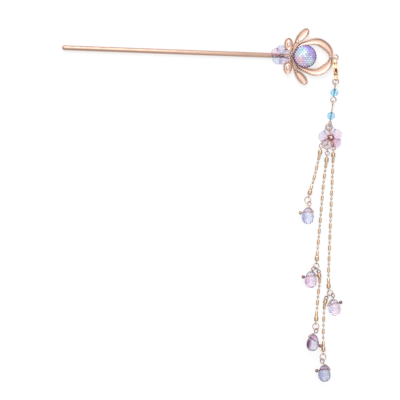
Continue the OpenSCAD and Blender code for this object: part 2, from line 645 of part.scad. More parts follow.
module eye_pin_upper() place(upper_bead_p, UPPER_PIN_LINE)
    eye_pin(upper_top, small_loop, 90, upper_low, large_loop, 0);
module eye_pin_lower() place(lower_bead_p, LOWER_PIN_LINE)
    eye_pin(lower_top, large_loop, 90, lower_low, large_loop, 60);

module round_bead() color("skyblue") difference() {
    sphere(d = bead_d);
    rotate([90, 0, 0]) cylinder(d = pin_wire + 2 * ease, h = bead_d + 1, center = true, $fn = 24);
}

module bead_upper() place(upper_bead_p, UPPER_PIN_LINE) round_bead();
module bead_lower() place(lower_bead_p, LOWER_PIN_LINE) round_bead();
module ring_flower() color("rosybrown") ring_at(flower_ring_p, FLOWER_RING_LINE, flower_ring);

// An arm of the connector, out to the near side of the eye that stands on edge at its end
module arm(p, line, eye) {
    d = p - eye[0] * aim(line) - connector_p;
    place(at_height(connector_p, connector_z), atan2(d[1], d[0]))
        translate([0, -0.45, 0]) cube([norm([d[0], d[1]]) + 0.1, 0.9, connector_t]);
    ring_at(p, line, eye, 90);
}

module connector() color("burlywood") {
    place(at_height(connector_p, connector_z)) cylinder(d = connector_disc_d, h = connector_t);
    arm(top_eye_p, CONNECTOR_LINE + 180, eyelet);
    for (a = ARMS) arm(arm_p(a), arm_line(a), small_eyelet);
}

bead_hub_t = bead_petal_t * 1.4;
flower_z = connector_z + connector_t + seat;
flower_bore = 0.7;
heart_z = flower_z + bead_hub_t + seat + heart_d / 2;
TASSEL_FLOWER_TURN = 36;
TASSEL_FLOWER_RISE = 23;
module tassel_flower() color("pink")
    place(at_height(connector_p, flower_z), TASSEL_FLOWER_TURN)
        flower_bead(tassel_flower_d, TASSEL_FLOWER_RISE, flower_bore);

module tassel_flower_heart() color("plum") translate(at_height(connector_p, heart_z)) difference() {
    sphere(d = heart_d);
    cylinder(d = flower_bore + 2 * ease, h = heart_d + 1, center = true);
}

module tassel_flower_pin() color("burlywood") {
    top = heart_z + heart_d / 2;
    translate(at_height(connector_p, flower_z)) cylinder(d = flower_bore, h = top - flower_z + 0.2);
    translate(at_height(connector_p, top + 0.1)) cylinder(d = 1.4, h = 0.4);
}

module small_ring(p, line, ring, roll = 0) color("burlywood") ring_at(p, line, ring, roll);
module ring_left() small_ring(left_ring_p, arm_line(ARMS[0]), left_ring);
module ring_middle() small_ring(middle_ring_p, 0, middle_ring);
module ring_middle_link() small_ring(middle_link_p, MIDDLE_LINK_LINE, link_ring, 90);
module ring_middle_low() small_ring(middle_low_p, 0, low_ring);
module ring_right() small_ring(right_ring_p, 0, low_ring);

// An end cap hangs by its eye and holds the chain's last bar in its barrel
CAP_PROFILE = [[0, 0], [0.6, 0], [0.92, 0.1], [1, 0.25], [1, 0.82], [0.86, 1], [0, 1]];
module cap(p, line, eye_roll = 90) color("burlywood") place(p, line) {
    loop_ring(cap_eye, eye_roll);
    translate([0, -cap_eye[0], 0]) rotate([90, 0, 0])
        rotate_extrude() polygon([for (q = CAP_PROFILE) [q[0] * cap_d / 2, q[1] * cap_l]]);
}

module low_cap(p, plan) cap(p, last_line(plan) + 180);

// The ring that a drop hangs from leans towards the drop's loop
RING_ROLL = -20;
LOOP_ROLL = 38;
module hanging_ring(d, line) small_ring(d_ring_p(d), line, d_ring(d), RING_ROLL * d_lean(d));

lay_out() stick();
lay_out() filigree();
lay_out() cabochon();
lay_out() stick_flower();
lay_out() stick_flower_pin();
lay_out() ring_frame();
lay_out() clasp_body();
lay_out() clasp_lever();
lay_out() ring_clasp();
lay_out() eye_pin_upper();
lay_out() bead_upper();
lay_out() eye_pin_lower();
lay_out() bead_lower();
lay_out() ring_flower();
lay_out() connector();
lay_out() tassel_flower();
lay_out() tassel_flower_heart();
lay_out() tassel_flower_pin();
lay_out() ring_left();
lay_out() ring_middle();
lay_out() ring_middle_link();
lay_out() ring_middle_low();
lay_out() ring_right();
lay_out() cap(cap_a_top_p, CAP_LINE_A);  // cap_a_top
lay_out() chain(route_a);  // chain_a
lay_out() low_cap(cap_a_end_p, CHAIN_A);  // cap_a_end
lay_out() hanging_ring(DROP_A, last_line(CHAIN_A));  // ring_a_end
lay_out() glass_drop(DROP_A, "lightsteelblue");  // drop_a
lay_out() drop_pin(DROP_A);  // drop_pin_a
lay_out() cap(cap_b_top_p, CAP_LINE_B);  // cap_b_top
lay_out() chain(route_b_upper);  // chain_b_upper
lay_out() low_cap(cap_b_mid_p, CHAIN_B_UPPER);  // cap_b_mid
lay_out() hanging_ring(DROP_B_MID, 0);  // ring_b_mid
lay_out() glass_drop(DROP_B_MID, "pink");  // drop_b_mid
lay_out() drop_pin(DROP_B_MID);  // drop_pin_b_mid
lay_out() small_ring(link_b_p, 2 * LOW_CHAIN_B, link_ring, 90);  // ring_b_link
lay_out() cap(cap_b_low_p, LOW_CHAIN_B, 0);  // cap_b_low
lay_out() chain(route_b_lower);  // chain_b_lower
lay_out() low_cap(cap_b_end_p, CHAIN_B_LOWER);  // cap_b_end
lay_out() hanging_ring(DROP_B_END, 0);  // ring_b_end
lay_out() glass_drop(DROP_B_END, "orchid");  // drop_b_end
lay_out() drop_pin(DROP_B_END);  // drop_pin_b_end
lay_out() cap(cap_c_top_p, CAP_LINE_C);  // cap_c_top
lay_out() chain(route_c_upper);  // chain_c_upper
lay_out() low_cap(cap_c_mid_p, CHAIN_C_UPPER);  // cap_c_mid
lay_out() hanging_ring(DROP_C_MID, 0);  // ring_c_mid
lay_out() glass_drop(DROP_C_MID, "lavender");  // drop_c_mid
lay_out() drop_pin(DROP_C_MID);  // drop_pin_c_mid
lay_out() small_ring(link_c_p, LOW_LINK_C, link_ring, 90);  // ring_c_link
lay_out() cap(cap_c_low_p, LOW_CHAIN_C, 0);  // cap_c_low
lay_out() chain(route_c_lower);  // chain_c_lower
lay_out() low_cap(cap_c_end_p, CHAIN_C_LOWER);  // cap_c_end
lay_out() hanging_ring(DROP_C_END, END_RING_C);  // ring_c_end
lay_out() glass_drop(DROP_C_END, "lightsteelblue");  // drop_c_end
lay_out() drop_pin(DROP_C_END);  // drop_pin_c_end
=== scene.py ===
from math import asin, atan2, ceil, cos, degrees, hypot, pi, radians, sin, sqrt, tan, tau
import random

import bmesh
import bpy
from mathutils import Matrix, Vector


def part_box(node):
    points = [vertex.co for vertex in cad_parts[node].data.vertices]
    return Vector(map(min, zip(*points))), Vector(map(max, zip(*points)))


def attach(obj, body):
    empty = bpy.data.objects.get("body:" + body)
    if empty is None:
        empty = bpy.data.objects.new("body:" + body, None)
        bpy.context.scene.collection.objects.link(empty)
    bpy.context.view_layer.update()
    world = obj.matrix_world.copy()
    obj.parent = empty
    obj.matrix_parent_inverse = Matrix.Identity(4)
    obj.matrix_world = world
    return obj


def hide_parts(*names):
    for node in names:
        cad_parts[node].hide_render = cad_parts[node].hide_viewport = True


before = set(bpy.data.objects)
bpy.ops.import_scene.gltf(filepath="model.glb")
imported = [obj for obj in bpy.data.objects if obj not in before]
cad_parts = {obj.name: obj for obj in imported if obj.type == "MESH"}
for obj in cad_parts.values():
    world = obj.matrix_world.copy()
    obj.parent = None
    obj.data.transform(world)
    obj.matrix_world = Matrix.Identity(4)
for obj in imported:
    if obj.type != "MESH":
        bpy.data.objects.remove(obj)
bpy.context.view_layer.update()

# The hair stick: a round brass rod with a rounded tip, plated in pale rose gold and polished. Its other end
# is hammered flat into a tang, and a round glue pad is soldered to the tang under the ornament.
MM = 0.001
ROD_THICK = 2.5 * MM
ROD_LONG = 104.5 * MM
SHOULDER = 1.4 * MM
TANG_WIDE = 2.2 * MM
TANG_THICK = 1 * MM
PAD_WIDE = 8 * MM
STICK_COLOUR = (0.7, 0.49, 0.39)
STICK_DEEP = (0.57, 0.37, 0.29)
TIP_ROUND = 0.46 * ROD_THICK
# How near a face or edge stands to a plane that it counts as being in
NEAR = 0.01 * MM
# How far out a round's own outline counts as its edge, as a share of its width
ON_EDGE = 0.47
# Fine polishing marks: their size, their depth and how clear they are
MARK_SIZE = 0.25 * MM
MARK_DEPTH = 0.05 * MM
MARK_CLEAR = 0.12
# How far the plate is worn off its edges, and how much brighter each colour gets there
WORN_SHARE = 0.35
WORN_BRIGHT = (1.12, 1.14, 1.16)

stick_low, stick_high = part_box("stick")
line_y = (stick_low.y + stick_high.y) / 2
tip_x = stick_low.x
shoulder_x = tip_x + ROD_LONG
axis_z = ROD_THICK / 2
cab_low, cab_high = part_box("cabochon")
cab_x = (cab_low.x + cab_high.x) / 2


def let_go():
    """Let go of every object, so that the next operator acts on the new piece alone."""
    bpy.ops.object.select_all(action="DESELECT")


def added(primitive, **settings):
    """Add a primitive, apply its place and turn to its mesh, and open it with all of it chosen."""
    let_go()
    primitive(**settings)
    bpy.ops.object.transform_apply(location=True, rotation=True, scale=True)
    bpy.ops.object.mode_set(mode="EDIT")
    bpy.ops.mesh.select_all(action="SELECT")
    return bpy.context.object


def choose(piece, kind, wanted):
    """Choose the faces or edges whose middle is where the test wants it."""
    bpy.ops.mesh.select_mode(type={"faces": "FACE", "edges": "EDGE"}[kind])
    bpy.ops.mesh.select_all(action="DESELECT")
    mesh = bmesh.from_edit_mesh(piece.data)
    for part in getattr(mesh, kind):
        if wanted(sum((v.co for v in part.verts), Vector()) / len(part.verts)):
            part.select_set(True)
    mesh.select_flush_mode()
    bmesh.update_edit_mesh(piece.data)


def close_up(piece, angle=35):
    """Leave edit mode with the faces outward and the edges sharper than the angle left crisp."""
    bpy.ops.object.mode_set(mode="EDIT")
    bpy.ops.mesh.select_all(action="SELECT")
    bpy.ops.mesh.normals_make_consistent(inside=False)
    bpy.ops.object.mode_set(mode="OBJECT")
    bpy.ops.object.shade_smooth_by_angle(angle=radians(angle))
    return piece


def take(*pieces):
    """Take hold of pieces and of nothing else, with the first of them active."""
    let_go()
    for piece in pieces:
        piece.select_set(True)
    bpy.context.view_layer.objects.active = pieces[0]


def join(pieces):
    """Solder pieces together into the first of them."""
    take(*pieces)
    bpy.ops.object.join()
    return pieces[0]


def pull(x, y, z):
    """Extrude what is chosen and move it."""
    bpy.ops.mesh.extrude_region_move(TRANSFORM_OT_translate={"value": (x, y, z)})


def hand_over(piece, name, node, finish, body="hairpin"):
    """Name a finished piece, give it its finish, and let it stand for its node on the body."""
    piece.name = piece.data.name = name
    piece.data.materials.clear()
    piece.data.materials.append(finish)
    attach(piece, body)
    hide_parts(node)


def fill_in(node, **values):
    """Give a node's sockets, named with underscores for spaces, a value or what another socket puts out."""
    for name, value in values.items():
        socket = node.inputs[name.replace("_", " ")]
        if isinstance(value, bpy.types.NodeSocket):
            node.id_data.links.new(value, socket)
        else:
            socket.default_value = value


def open_nodes(owner):
    """A short way to add nodes to a material or world, and a material's shader."""
    owner.use_nodes = True
    tree = owner.node_tree

    def node(kind, links=(), **values):
        new = tree.nodes.new(kind)
        for key, value in values.items():
            if hasattr(new, key):
                setattr(new, key, value)
            else:
                fill_in(new, **{key: value})
        for socket, source in dict(links).items():
            if isinstance(source, tuple):
                new.inputs[socket].default_value = source
            else:
                tree.links.new(source, new.inputs[socket])
        return new

    return node, tree.nodes.get("Principled BSDF")


def own_place(node):
    """The place on a piece, in the piece's own coordinates."""
    return node("ShaderNodeTexCoord").outputs["Object"]


def noted(node, name, output="Fac"):
    """What a piece's points carry under a name."""
    return node("ShaderNodeAttribute", attribute_name=name).outputs[output]


def noise(node, place, size, detail):
    """Cloudy noise with clouds of a size."""
    return node("ShaderNodeTexNoise", {"Vector": place}, Scale=1 / size, Detail=detail).outputs["Fac"]


def ramp(node, source, low, high, at_low=0.0, at_high=1.0, ease="LINEAR"):
    """A socket that goes from one value to another while its source goes from low to high."""
    return node(
        "ShaderNodeMapRange", {"Value": source}, interpolation_type=ease,
        From_Min=low, From_Max=high, To_Min=at_low, To_Max=at_high,
    ).outputs["Result"]


def blend(node, share, first, second, how="MIX"):
    """A colour socket that mixes two colours, each given as a socket or as three numbers, by a share."""
    first, second = ((*c, 1) if isinstance(c, tuple) else c for c in (first, second))
    mix = node("ShaderNodeMix", {"Factor": share, 6: first, 7: second}, data_type="RGBA", blend_type=how)
    return mix.outputs[2]


def dent(node, shader, height, clear, depth):
    """Dent the face of a material by a height."""
    bump = node("ShaderNodeBump", {"Height": height}, Strength=clear, Distance=depth)
    fill_in(shader, Normal=bump.outputs["Normal"])


def plated(name, colour, deep, rough, size, grain=(1, 1, 1)):
    """Polished plate over brass: patches of tone, fine polishing marks, and brighter worn edges."""
    finish = bpy.data.materials.new(name)
    node, shader = open_nodes(finish)
    fill_in(shader, Metallic=1)
    place = own_place(node)
    tone = blend(node, noise(node, place, size * 3 * MM, 3), deep, colour)
    worn = ramp(node, node("ShaderNodeNewGeometry").outputs["Pointiness"], 0.5, 0.62, 0, WORN_SHARE)
    worn_colour = tuple(min(part * more, 1) for part, more in zip(colour, WORN_BRIGHT))
    fill_in(shader, Base_Color=blend(node, worn, tone, worn_colour))
    drawn_out = node("ShaderNodeMapping", {"Vector": place}, Scale=grain).outputs["Vector"]
    marks = noise(node, drawn_out, MARK_SIZE, 6)
    fill_in(shader, Roughness=ramp(node, marks, 0, 1, rough * 0.6, rough * 1.6))
    dent(node, shader, marks, MARK_CLEAR, MARK_DEPTH)
    return finish


rod = added(
    bpy.ops.mesh.primitive_cylinder_add, vertices=48, radius=ROD_THICK / 2, depth=ROD_LONG,
    location=(tip_x + ROD_LONG / 2, line_y, axis_z), rotation=(0, radians(90), 0),
)
choose(rod, "edges", lambda p: abs(p.x - tip_x) < NEAR)
bpy.ops.mesh.bevel(offset=TIP_ROUND, segments=8, profile=0.5, clamp_overlap=False)
choose(rod, "faces", lambda p: abs(p.x - shoulder_x) < NEAR)
pull(SHOULDER, 0, 0)
bpy.ops.transform.resize(
    value=(1, TANG_WIDE / ROD_THICK, TANG_THICK / ROD_THICK),
    center_override=(shoulder_x + SHOULDER, line_y, axis_z),
)
pull(cab_x - shoulder_x - SHOULDER, 0, 0)
close_up(rod)
pad = added(
    bpy.ops.mesh.primitive_cylinder_add, vertices=64, radius=PAD_WIDE / 2, depth=TANG_THICK,
    location=(cab_x, line_y, axis_z),
)
choose(pad, "edges", lambda p: (p.xy - Vector((cab_x, line_y))).length > PAD_WIDE * ON_EDGE)
bpy.ops.mesh.bevel(offset=0.15 * MM, segments=3)
close_up(pad)
hair_stick = join([rod, pad])
hand_over(
    hair_stick, "hair_stick", "stick",
    plated("stick_plate", STICK_COLOUR, STICK_DEEP, rough=0.4, grain=(0.06, 1, 1), size=4),
)

# The filigree: two crescent bands, two petals and two loops stamped from one brass sheet with a raised rim
# round every part, plated in rose gold. A disc carries the cabochon, and an eyelet of wire is soldered
# to the tip, where the two bands meet in a drop of solder as they do at the fork.
FILIGREE_LONG = 19.9 * MM
FILIGREE_WIDE = 19.2 * MM
PETAL_LONG = 8.35 * MM
PETAL_WIDE = 4.1 * MM
PETAL_LINE = 48
LOOP_TALL = 7 * MM
LOOP_WIDE = 4.2 * MM
SHEET = 0.8 * MM
SEAT = 0.05 * MM
STRIP_THICK = 0.6 * MM
LOOP_THICK = 0.55 * MM
# A strip narrower than this, at either side of its middle, gets a lower rim and a shallower gutter
NARROW = 0.7 * MM
DISC_WIDE = 10.32 * MM
# Columns: place along from the fork, width of the drop of solder
SOLDER = [(-0.2 * MM, 2 * MM), (FILIGREE_LONG - 0.3 * MM, 1.4 * MM)]
SOLDER_HIGH = 0.44 * MM
EYELET_WIDE = 0.8 * MM
EYELET_WIRE = 0.6 * MM
GOLD = (0.76, 0.53, 0.43)
GOLD_DEEP = (0.7, 0.46, 0.36)
# The raised rims' duller tan is painted shade, standing in for the dark reflections on them.
RIM_SHADE_GOLD = (0.7, 0.54, 0.45)
# Spots of painted shade in the corners where the parts meet, in millimetres from the fork and from the
# stick's line
CORNER_SHADE_SPOTS = [(0, 0.3), (0.9, 1.1), (2.1, 7), (3.4, 8)]
CORNER_SHADE_SIZE = 0.34 * MM
CORNER_SHADE_BROWN = (0.2, 0.1, 0.05)

fork_x = cab_low.x - 0.9 * MM
sheet_top = axis_z + TANG_THICK / 2 + SEAT + SHEET

# Columns of a station: share of the filigree's length, share of its width, half width as a share of its width
BAND = [
    (0, 0, 0.02), (0.1, 0.165, 0.045), (0.22, 0.29, 0.055), (0.375, 0.355, 0.065), (0.54, 0.395, 0.085),
    (0.69, 0.385, 0.1), (0.84, 0.3, 0.105), (0.955, 0.175, 0.085), (0.99, 0.07, 0.05), (0.975, 0.01, 0.03),
]
STEM = [(-0.03, 0.01, 0.03), (0.03, 0.13, 0.05), (0.08, 0.25, 0.055), (0.13, 0.38, 0.05)]
# Columns: share of the petal's length, half width as a share of its width
PETAL = [
    (0, 0.2), (0.15, 0.32), (0.3, 0.43), (0.48, 0.49), (0.66, 0.5), (0.8, 0.455), (0.91, 0.35),
    (0.97, 0.21), (1, 0.06),
]
# Columns of the sheet's section: share of the half width, distance in from the edge, height over the sheet
GUTTER = [
    (-1, 0, 0.1), (-1, 0.08, 0.34), (-1, 0.22, 0.4), (-1, 0.36, 0.34), (-1, 0.48, 0.02), (-0.7, 0.48, -0.16),
    (-0.35, 0.48, -0.26), (0, 0.48, -0.3),
]
GUTTER += [(-side, inset, height) for side, inset, height in GUTTER[-2::-1]]
# Columns of the loop's section from its outline in to its slot: share of its width, height over the sheet
LOOP = [
    (1, -0.1), (0.9, 0.1), (0.985, 0.34), (0.94, 0.4), (0.87, 0.34), (0.8, 0.02), (0.62, -0.1), (0.44, -0.06),
    (0.3, 0.12), (0.26, -0.1),
]


def smooth_run(points, along):
    """The place at a share of the way along a smooth curve through the points."""
    spans = len(points) - 1
    first = min(int(along * spans), spans - 1)
    t = along * spans - first
    a, b, c, d = (Vector(points[min(max(first + k, 0), spans)]) for k in (-1, 0, 1, 2))
    return b + 0.5 * t * ((c - a) + t * (2 * a - 5 * b + 4 * c - d) + t * t * (3 * b - a - 3 * c + d))


def modify(piece, kind, **settings):
    """Give the active piece a modifier and apply it."""
    modifier = piece.modifiers.new(kind, kind)
    for key, value in settings.items():
        setattr(modifier, key, value)
    bpy.ops.object.modifier_apply(modifier=modifier.name)


def stamped_strip(stations, steps):
    """A strip of the sheet along stations, given as place along, place across and half width."""
    let_go()
    bpy.ops.mesh.primitive_grid_add(x_subdivisions=steps, y_subdivisions=len(GUTTER) - 1, size=1)
    strip = bpy.context.object
    for vertex in strip.data.vertices:
        along = min(max(vertex.co.x + 0.5, 0), 1)
        side, inset, height = GUTTER[round((vertex.co.y + 0.5) * (len(GUTTER) - 1))]
        here = smooth_run(stations, along)
        ahead = smooth_run(stations, min(along + 0.01, 1)) - smooth_run(stations, max(along - 0.01, 0))
        across = Vector((-ahead.y, ahead.x)).normalized()
        narrow = min(here.z / NARROW, 1)
        spot = here.xy + across * side * max(here.z - inset * narrow * MM, 0)
        vertex.co = (fork_x + spot.x, line_y + spot.y, sheet_top + height * narrow * MM)
    modify(strip, "SOLIDIFY", thickness=STRIP_THICK, offset=-1)
    return close_up(strip, 50)


def draw_in(piece, place):
    """Move each chosen point to where its angle round the origin puts it."""
    mesh = bmesh.from_edit_mesh(piece.data)
    for vertex in (v for v in mesh.verts if v.select):
        vertex.co = place(atan2(vertex.co.y, vertex.co.x))
    bmesh.update_edit_mesh(piece.data)


def weld(distance):
    """Choose all of the open mesh and merge its points that are nearer than a distance."""
    bpy.ops.mesh.select_all(action="SELECT")
    bpy.ops.mesh.remove_doubles(threshold=distance)


def stamped_loop():
    """The oval loop beside the fork: a rimmed oval of sheet round a small slot."""
    middle = Vector((fork_x - LOOP_WIDE * 0.38, line_y + LOOP_TALL * 0.82))
    loop = added(bpy.ops.mesh.primitive_circle_add, vertices=48, radius=1)
    for ring, (share, height) in enumerate(LOOP):
        if ring:
            bpy.ops.mesh.extrude_region_move()
        draw_in(loop, lambda angle: (share * cos(angle), share * sin(angle), height * MM))
    bpy.ops.object.mode_set(mode="OBJECT")
    for vertex in loop.data.vertices:
        lean = 0.25 * MM * (1 - vertex.co.xy.length)
        vertex.co.x = middle.x + vertex.co.x * LOOP_WIDE / 2 + lean
        vertex.co.y = middle.y + vertex.co.y * LOOP_TALL / 2 + lean
        vertex.co.z += sheet_top
    modify(loop, "SOLIDIFY", thickness=LOOP_THICK, offset=-1)
    return close_up(loop, 50)


def twin_of(piece):
    """A copy of a piece with a mesh of its own, taken hold of."""
    twin = piece.copy()
    twin.data = piece.data.copy()
    bpy.context.scene.collection.objects.link(twin)
    take(twin)
    return twin


def other_half(piece):
    """A mirrored copy of a piece on the far side of the stick's line."""
    twin = twin_of(piece)
    for vertex in twin.data.vertices:
        vertex.co.y = 2 * line_y - vertex.co.y
    return close_up(twin, 50)


def scaled(stations):
    """Stations given as shares of the filigree, as places."""
    return [(a * FILIGREE_LONG, b * FILIGREE_WIDE, c * FILIGREE_WIDE) for a, b, c in stations]


petal_root = Vector((0.115 * FILIGREE_LONG, 0.375 * FILIGREE_WIDE))
petal_ahead = Vector((cos(radians(PETAL_LINE)), sin(radians(PETAL_LINE))))
petal_run = [(*(petal_root + petal_ahead * a * PETAL_LONG), w * PETAL_WIDE) for a, w in PETAL]
halves = [stamped_strip(scaled(BAND), 64), stamped_strip(scaled(STEM), 20), stamped_strip(petal_run, 40)]
halves += [stamped_loop()]
halves += [other_half(half) for half in halves]

disc = close_up(added(
    bpy.ops.mesh.primitive_cylinder_add, vertices=64, radius=DISC_WIDE / 2, depth=SHEET * 0.9,
    location=(cab_x, line_y, sheet_top - SHEET / 2),
))
solder = []
for along, wide in SOLDER:
    solder.append(close_up(added(
        bpy.ops.mesh.primitive_uv_sphere_add, segments=32, ring_count=16, radius=wide / 2,
        location=(fork_x + along, line_y, sheet_top), scale=(1, 1, SOLDER_HIGH / wide * 2),
    )))
eyelet = close_up(added(
    bpy.ops.mesh.primitive_torus_add, major_radius=EYELET_WIDE, minor_radius=EYELET_WIRE / 2,
    major_segments=40, minor_segments=16, rotation=(radians(90), 0, 0),
    location=(fork_x + FILIGREE_LONG + 0.45 * MM, line_y, sheet_top - SHEET * 0.25),
))
stamping = join(halves + [disc, eyelet] + solder)


def patch(node, place, middle, reach, full, colour, under):
    """A soft round patch of colour in plan, up to its reach, and full up to a share of that."""
    flat = node("ShaderNodeVectorMath", {0: place, 1: (1, 1, 0)}, operation="MULTIPLY").outputs[0]
    away = node("ShaderNodeVectorMath", {0: flat, 1: (*middle, 0)}, operation="DISTANCE").outputs["Value"]
    near = ramp(node, away, reach, reach * full, ease="SMOOTHSTEP")
    return blend(node, near, under, colour)


def stamped_gold():
    """Rose-gold plate that is pink in the gutters, with painted shade that turns the raised rims a duller
    tan.
    """
    finish = plated("rose_gold_plate", GOLD, GOLD_DEEP, rough=0.27, size=1.6)
    node, shader = open_nodes(finish)
    plate = shader.inputs["Base Color"].links[0].from_socket
    place = own_place(node)
    height = node("ShaderNodeSeparateXYZ", {"Vector": place}).outputs["Z"]
    # Painted shade: the raised rims turn a duller tan by their height.
    so_far = blend(node, ramp(node, height, sheet_top + 0.1 * MM, sheet_top + 0.36 * MM), plate, RIM_SHADE_GOLD)
    # Painted shade: dark brown spots in the corners where the parts meet.
    for right, up in CORNER_SHADE_SPOTS:
        for side in (-1, 1):
            middle = (fork_x + right * MM, line_y + side * up * MM)
            so_far = patch(node, place, middle, CORNER_SHADE_SIZE * 1.5, 0.4, CORNER_SHADE_BROWN, so_far)
    fill_in(shader, Base_Color=so_far)
    return finish


hand_over(stamping, "stamped_filigree", "filigree", stamped_gold())

# The cabochon: a dome cast in pearly resin with rows of fish scales pressed in its face, backed with a
# colour-shifting foil. It is glued to the filigree's disc, and the scales at its edge stop short in notches.
CAB_WIDE = 12 * MM
CAB_TALL = 4.2 * MM
CAB_EDGE = 0.8 * MM
SCALE_PITCH = 1.4 * MM
SCALE_RISE = 0.16 * MM
NOTCHES = 26
# Painted shade: the dark colour of the seams where each scale steps down over the next.
SEAM_SHADE_COLOUR = (0.13, 0.09, 0.32)
NOTCH_COLOUR = (0.12, 0.05, 0.25)
FOIL_COLOUR = (0.6, 0.6, 0.85)
# How far the patches of colour wander off their places
WANDER = 1.6 * MM
# How dark the darkest scales and how bright the brightest are
SCALE_TONES = (0.78, 1.25)
# Most patches are the foil's own colours. The pale green one just above the middle is a painted glint, and
# the orange-pink one at the bottom is a painted reflection of the gold setting.
# Columns: place on the face in shares of its radius, reach of the patch as a share, colour
FOIL_AND_GLINT_PATCHES = [
    (-0.55, 0.1, 0.6, (0.8, 0.92, 0.93)), (-0.3, 0.5, 0.55, (0.6, 0.88, 0.98)),
    (-0.05, 0.3, 0.28, (0.72, 0.95, 0.74)), (0.35, 0.8, 0.6, (0.4, 0.28, 0.78)),
    (0.85, 0.35, 0.6, (0.48, 0.31, 0.78)), (0.8, -0.2, 0.45, (0.52, 0.44, 0.86)),
    (-0.5, -0.4, 0.6, (1, 0.68, 0.78)), (-0.05, -0.9, 0.3, (0.98, 0.58, 0.56)),
    (0.5, -0.5, 0.5, (0.8, 1, 1)), (0.12, -0.12, 0.32, (0.66, 0.8, 0.86)),
]
cab_mid = Vector((cab_x, line_y))
cap_high = CAB_TALL - CAB_EDGE
dome_r = (CAB_WIDE ** 2 / 4 + cap_high ** 2) / (2 * cap_high)


def scale_under(x, y):
    """The fish scale that shows at a place on the face: how far in from its free edge, and its number."""
    pitch, reach = SCALE_PITCH, SCALE_PITCH * 0.62
    row_high = pitch * 0.72
    top_row = ceil((y + reach) / row_high)
    for row in range(top_row, top_row - 5, -1):
        shift = 0.5 * (row % 2)
        column = round(x / pitch - shift)
        away = hypot(x - (column + shift) * pitch, y - row * row_high)
        if away < reach:
            return 1 - away / reach, row * 31 + column
    return 0, 0


let_go()
bpy.ops.mesh.primitive_grid_add(x_subdivisions=150, y_subdivisions=150, size=2)
dome = bpy.context.object
edge_in, rim_dark, shade = (
    dome.data.attributes.new(name, "FLOAT", "POINT") for name in ("scale_edge", "notched_rim", "scale_tone")
)
for vertex in dome.data.vertices:
    u, v = vertex.co.x, vertex.co.y
    x = u * sqrt(1 - v * v / 2) * CAB_WIDE / 2
    y = v * sqrt(1 - u * u / 2) * CAB_WIDE / 2
    away = hypot(x, y)
    inward, number = scale_under(x, y)
    rise = SCALE_RISE * (1 - inward) ** 1.5 - SCALE_RISE
    if away > CAB_WIDE * ON_EDGE:
        rise -= SCALE_RISE * (away / CAB_WIDE - ON_EDGE) * 40
    height = cab_low.z + CAB_TALL - dome_r + sqrt(dome_r ** 2 - away ** 2)
    out = Vector((x, y, sqrt(dome_r ** 2 - away ** 2))).normalized()
    vertex.co = Vector((*cab_mid, height)) + Vector((x, y, 0)) + out * rise
    edge_in.data[vertex.index].value = inward
    notch = 0.5 + 0.5 * cos(NOTCHES * atan2(y, x))
    rim_dark.data[vertex.index].value = min(max((away / CAB_WIDE * 2 - 0.8 - 0.1 * notch) / 0.08, 0), 1)
    shade.data[vertex.index].value = random.Random(number).random()
bpy.ops.object.mode_set(mode="EDIT")
bpy.ops.mesh.select_mode(type="EDGE")
bpy.ops.mesh.select_non_manifold(extend=False)
pull(0, 0, -CAB_EDGE * 0.6)
rim_mesh = bmesh.from_edit_mesh(dome.data)
for vertex in (v for v in rim_mesh.verts if v.select):
    vertex.co.z = cab_low.z
bmesh.update_edit_mesh(dome.data)
bpy.ops.mesh.edge_face_add()
close_up(dome, 40)


def pearly_resin():
    """Pearl foil under clear resin: patches of colour, some of them painted glint and reflection, each scale
    a little off its neighbours, and painted shade in the seams where one scale steps down to the next.
    """
    finish = bpy.data.materials.new("fish_scale_resin")
    node, shader = open_nodes(finish)
    place = own_place(node)
    wobble = node("ShaderNodeTexNoise", {"Vector": place}, Scale=1 / (2.2 * MM), Detail=1).outputs["Color"]
    moved = node(
        "ShaderNodeVectorMath", {0: wobble, 1: (WANDER, WANDER, 0), 2: (-WANDER / 2, -WANDER / 2, 0)},
        operation="MULTIPLY_ADD",
    ).outputs[0]
    spot = node("ShaderNodeVectorMath", {0: place, 1: moved}, operation="ADD").outputs[0]
    so_far = FOIL_COLOUR
    # Foil colours, with a painted glint and a painted reflection among them.
    for right, up, reach, tint in FOIL_AND_GLINT_PATCHES:
        middle = cab_mid + Vector((right, up)) * CAB_WIDE / 2
        so_far = patch(node, spot, middle, reach * CAB_WIDE / 2, 0.2, tint, so_far)
    lift = ramp(node, noted(node, "scale_tone"), 0, 1, *SCALE_TONES)
    scales = node("ShaderNodeHueSaturation", {"Color": so_far, "Value": lift}).outputs["Color"]
    # Painted shade: darkens the seams just past each scale's free edge.
    lined = blend(node, ramp(node, noted(node, "scale_edge"), 0, 0.42, 0.9, 0), scales, SEAM_SHADE_COLOUR)
    fill_in(shader, Base_Color=blend(node, noted(node, "notched_rim"), lined, NOTCH_COLOUR))
    fill_in(shader, Metallic=0.12, Roughness=0.42, Coat_Weight=0.35, Coat_Roughness=0.12)
    dent(node, shader, noise(node, place, 0.3 * MM, 2), 0.08, 0.05 * MM)
    return finish


hand_over(dome, "fish_scale_cabochon", "cabochon", pearly_resin())

# The two flower beads: five cupped petals pressed in clear glass, each petal touched with its own tint.
# A pin holds each bead down through its middle: one on the tang, the other over the three chains.
PETAL_GLASS = 1.1 * MM
# Columns of a petal's run from the bore out: share of the way out, share of the lift
CUP = [
    (0.24, 0), (0.34, 0.12), (0.48, 0.3), (0.62, 0.5), (0.76, 0.7), (0.88, 0.87), (0.96, 0.97), (1, 1),
]
CLEAR = (0.97, 0.95, 0.98)
PINK = (0.99, 0.82, 0.91)
LILAC = (0.86, 0.81, 0.93)
SKY = (0.84, 0.92, 0.99)
MAUVE = (0.83, 0.6, 0.74)
PETAL_EDGE = (0.86, 0.86, 0.92)
PETAL_STREAK = (0.6, 0.6, 0.72)
# How much of a lamp's light the glass lets through to what lies under it
LAMP_SHARE = 0.92
GLASS_CLOUD = (0.75, 0.75, 0.8)
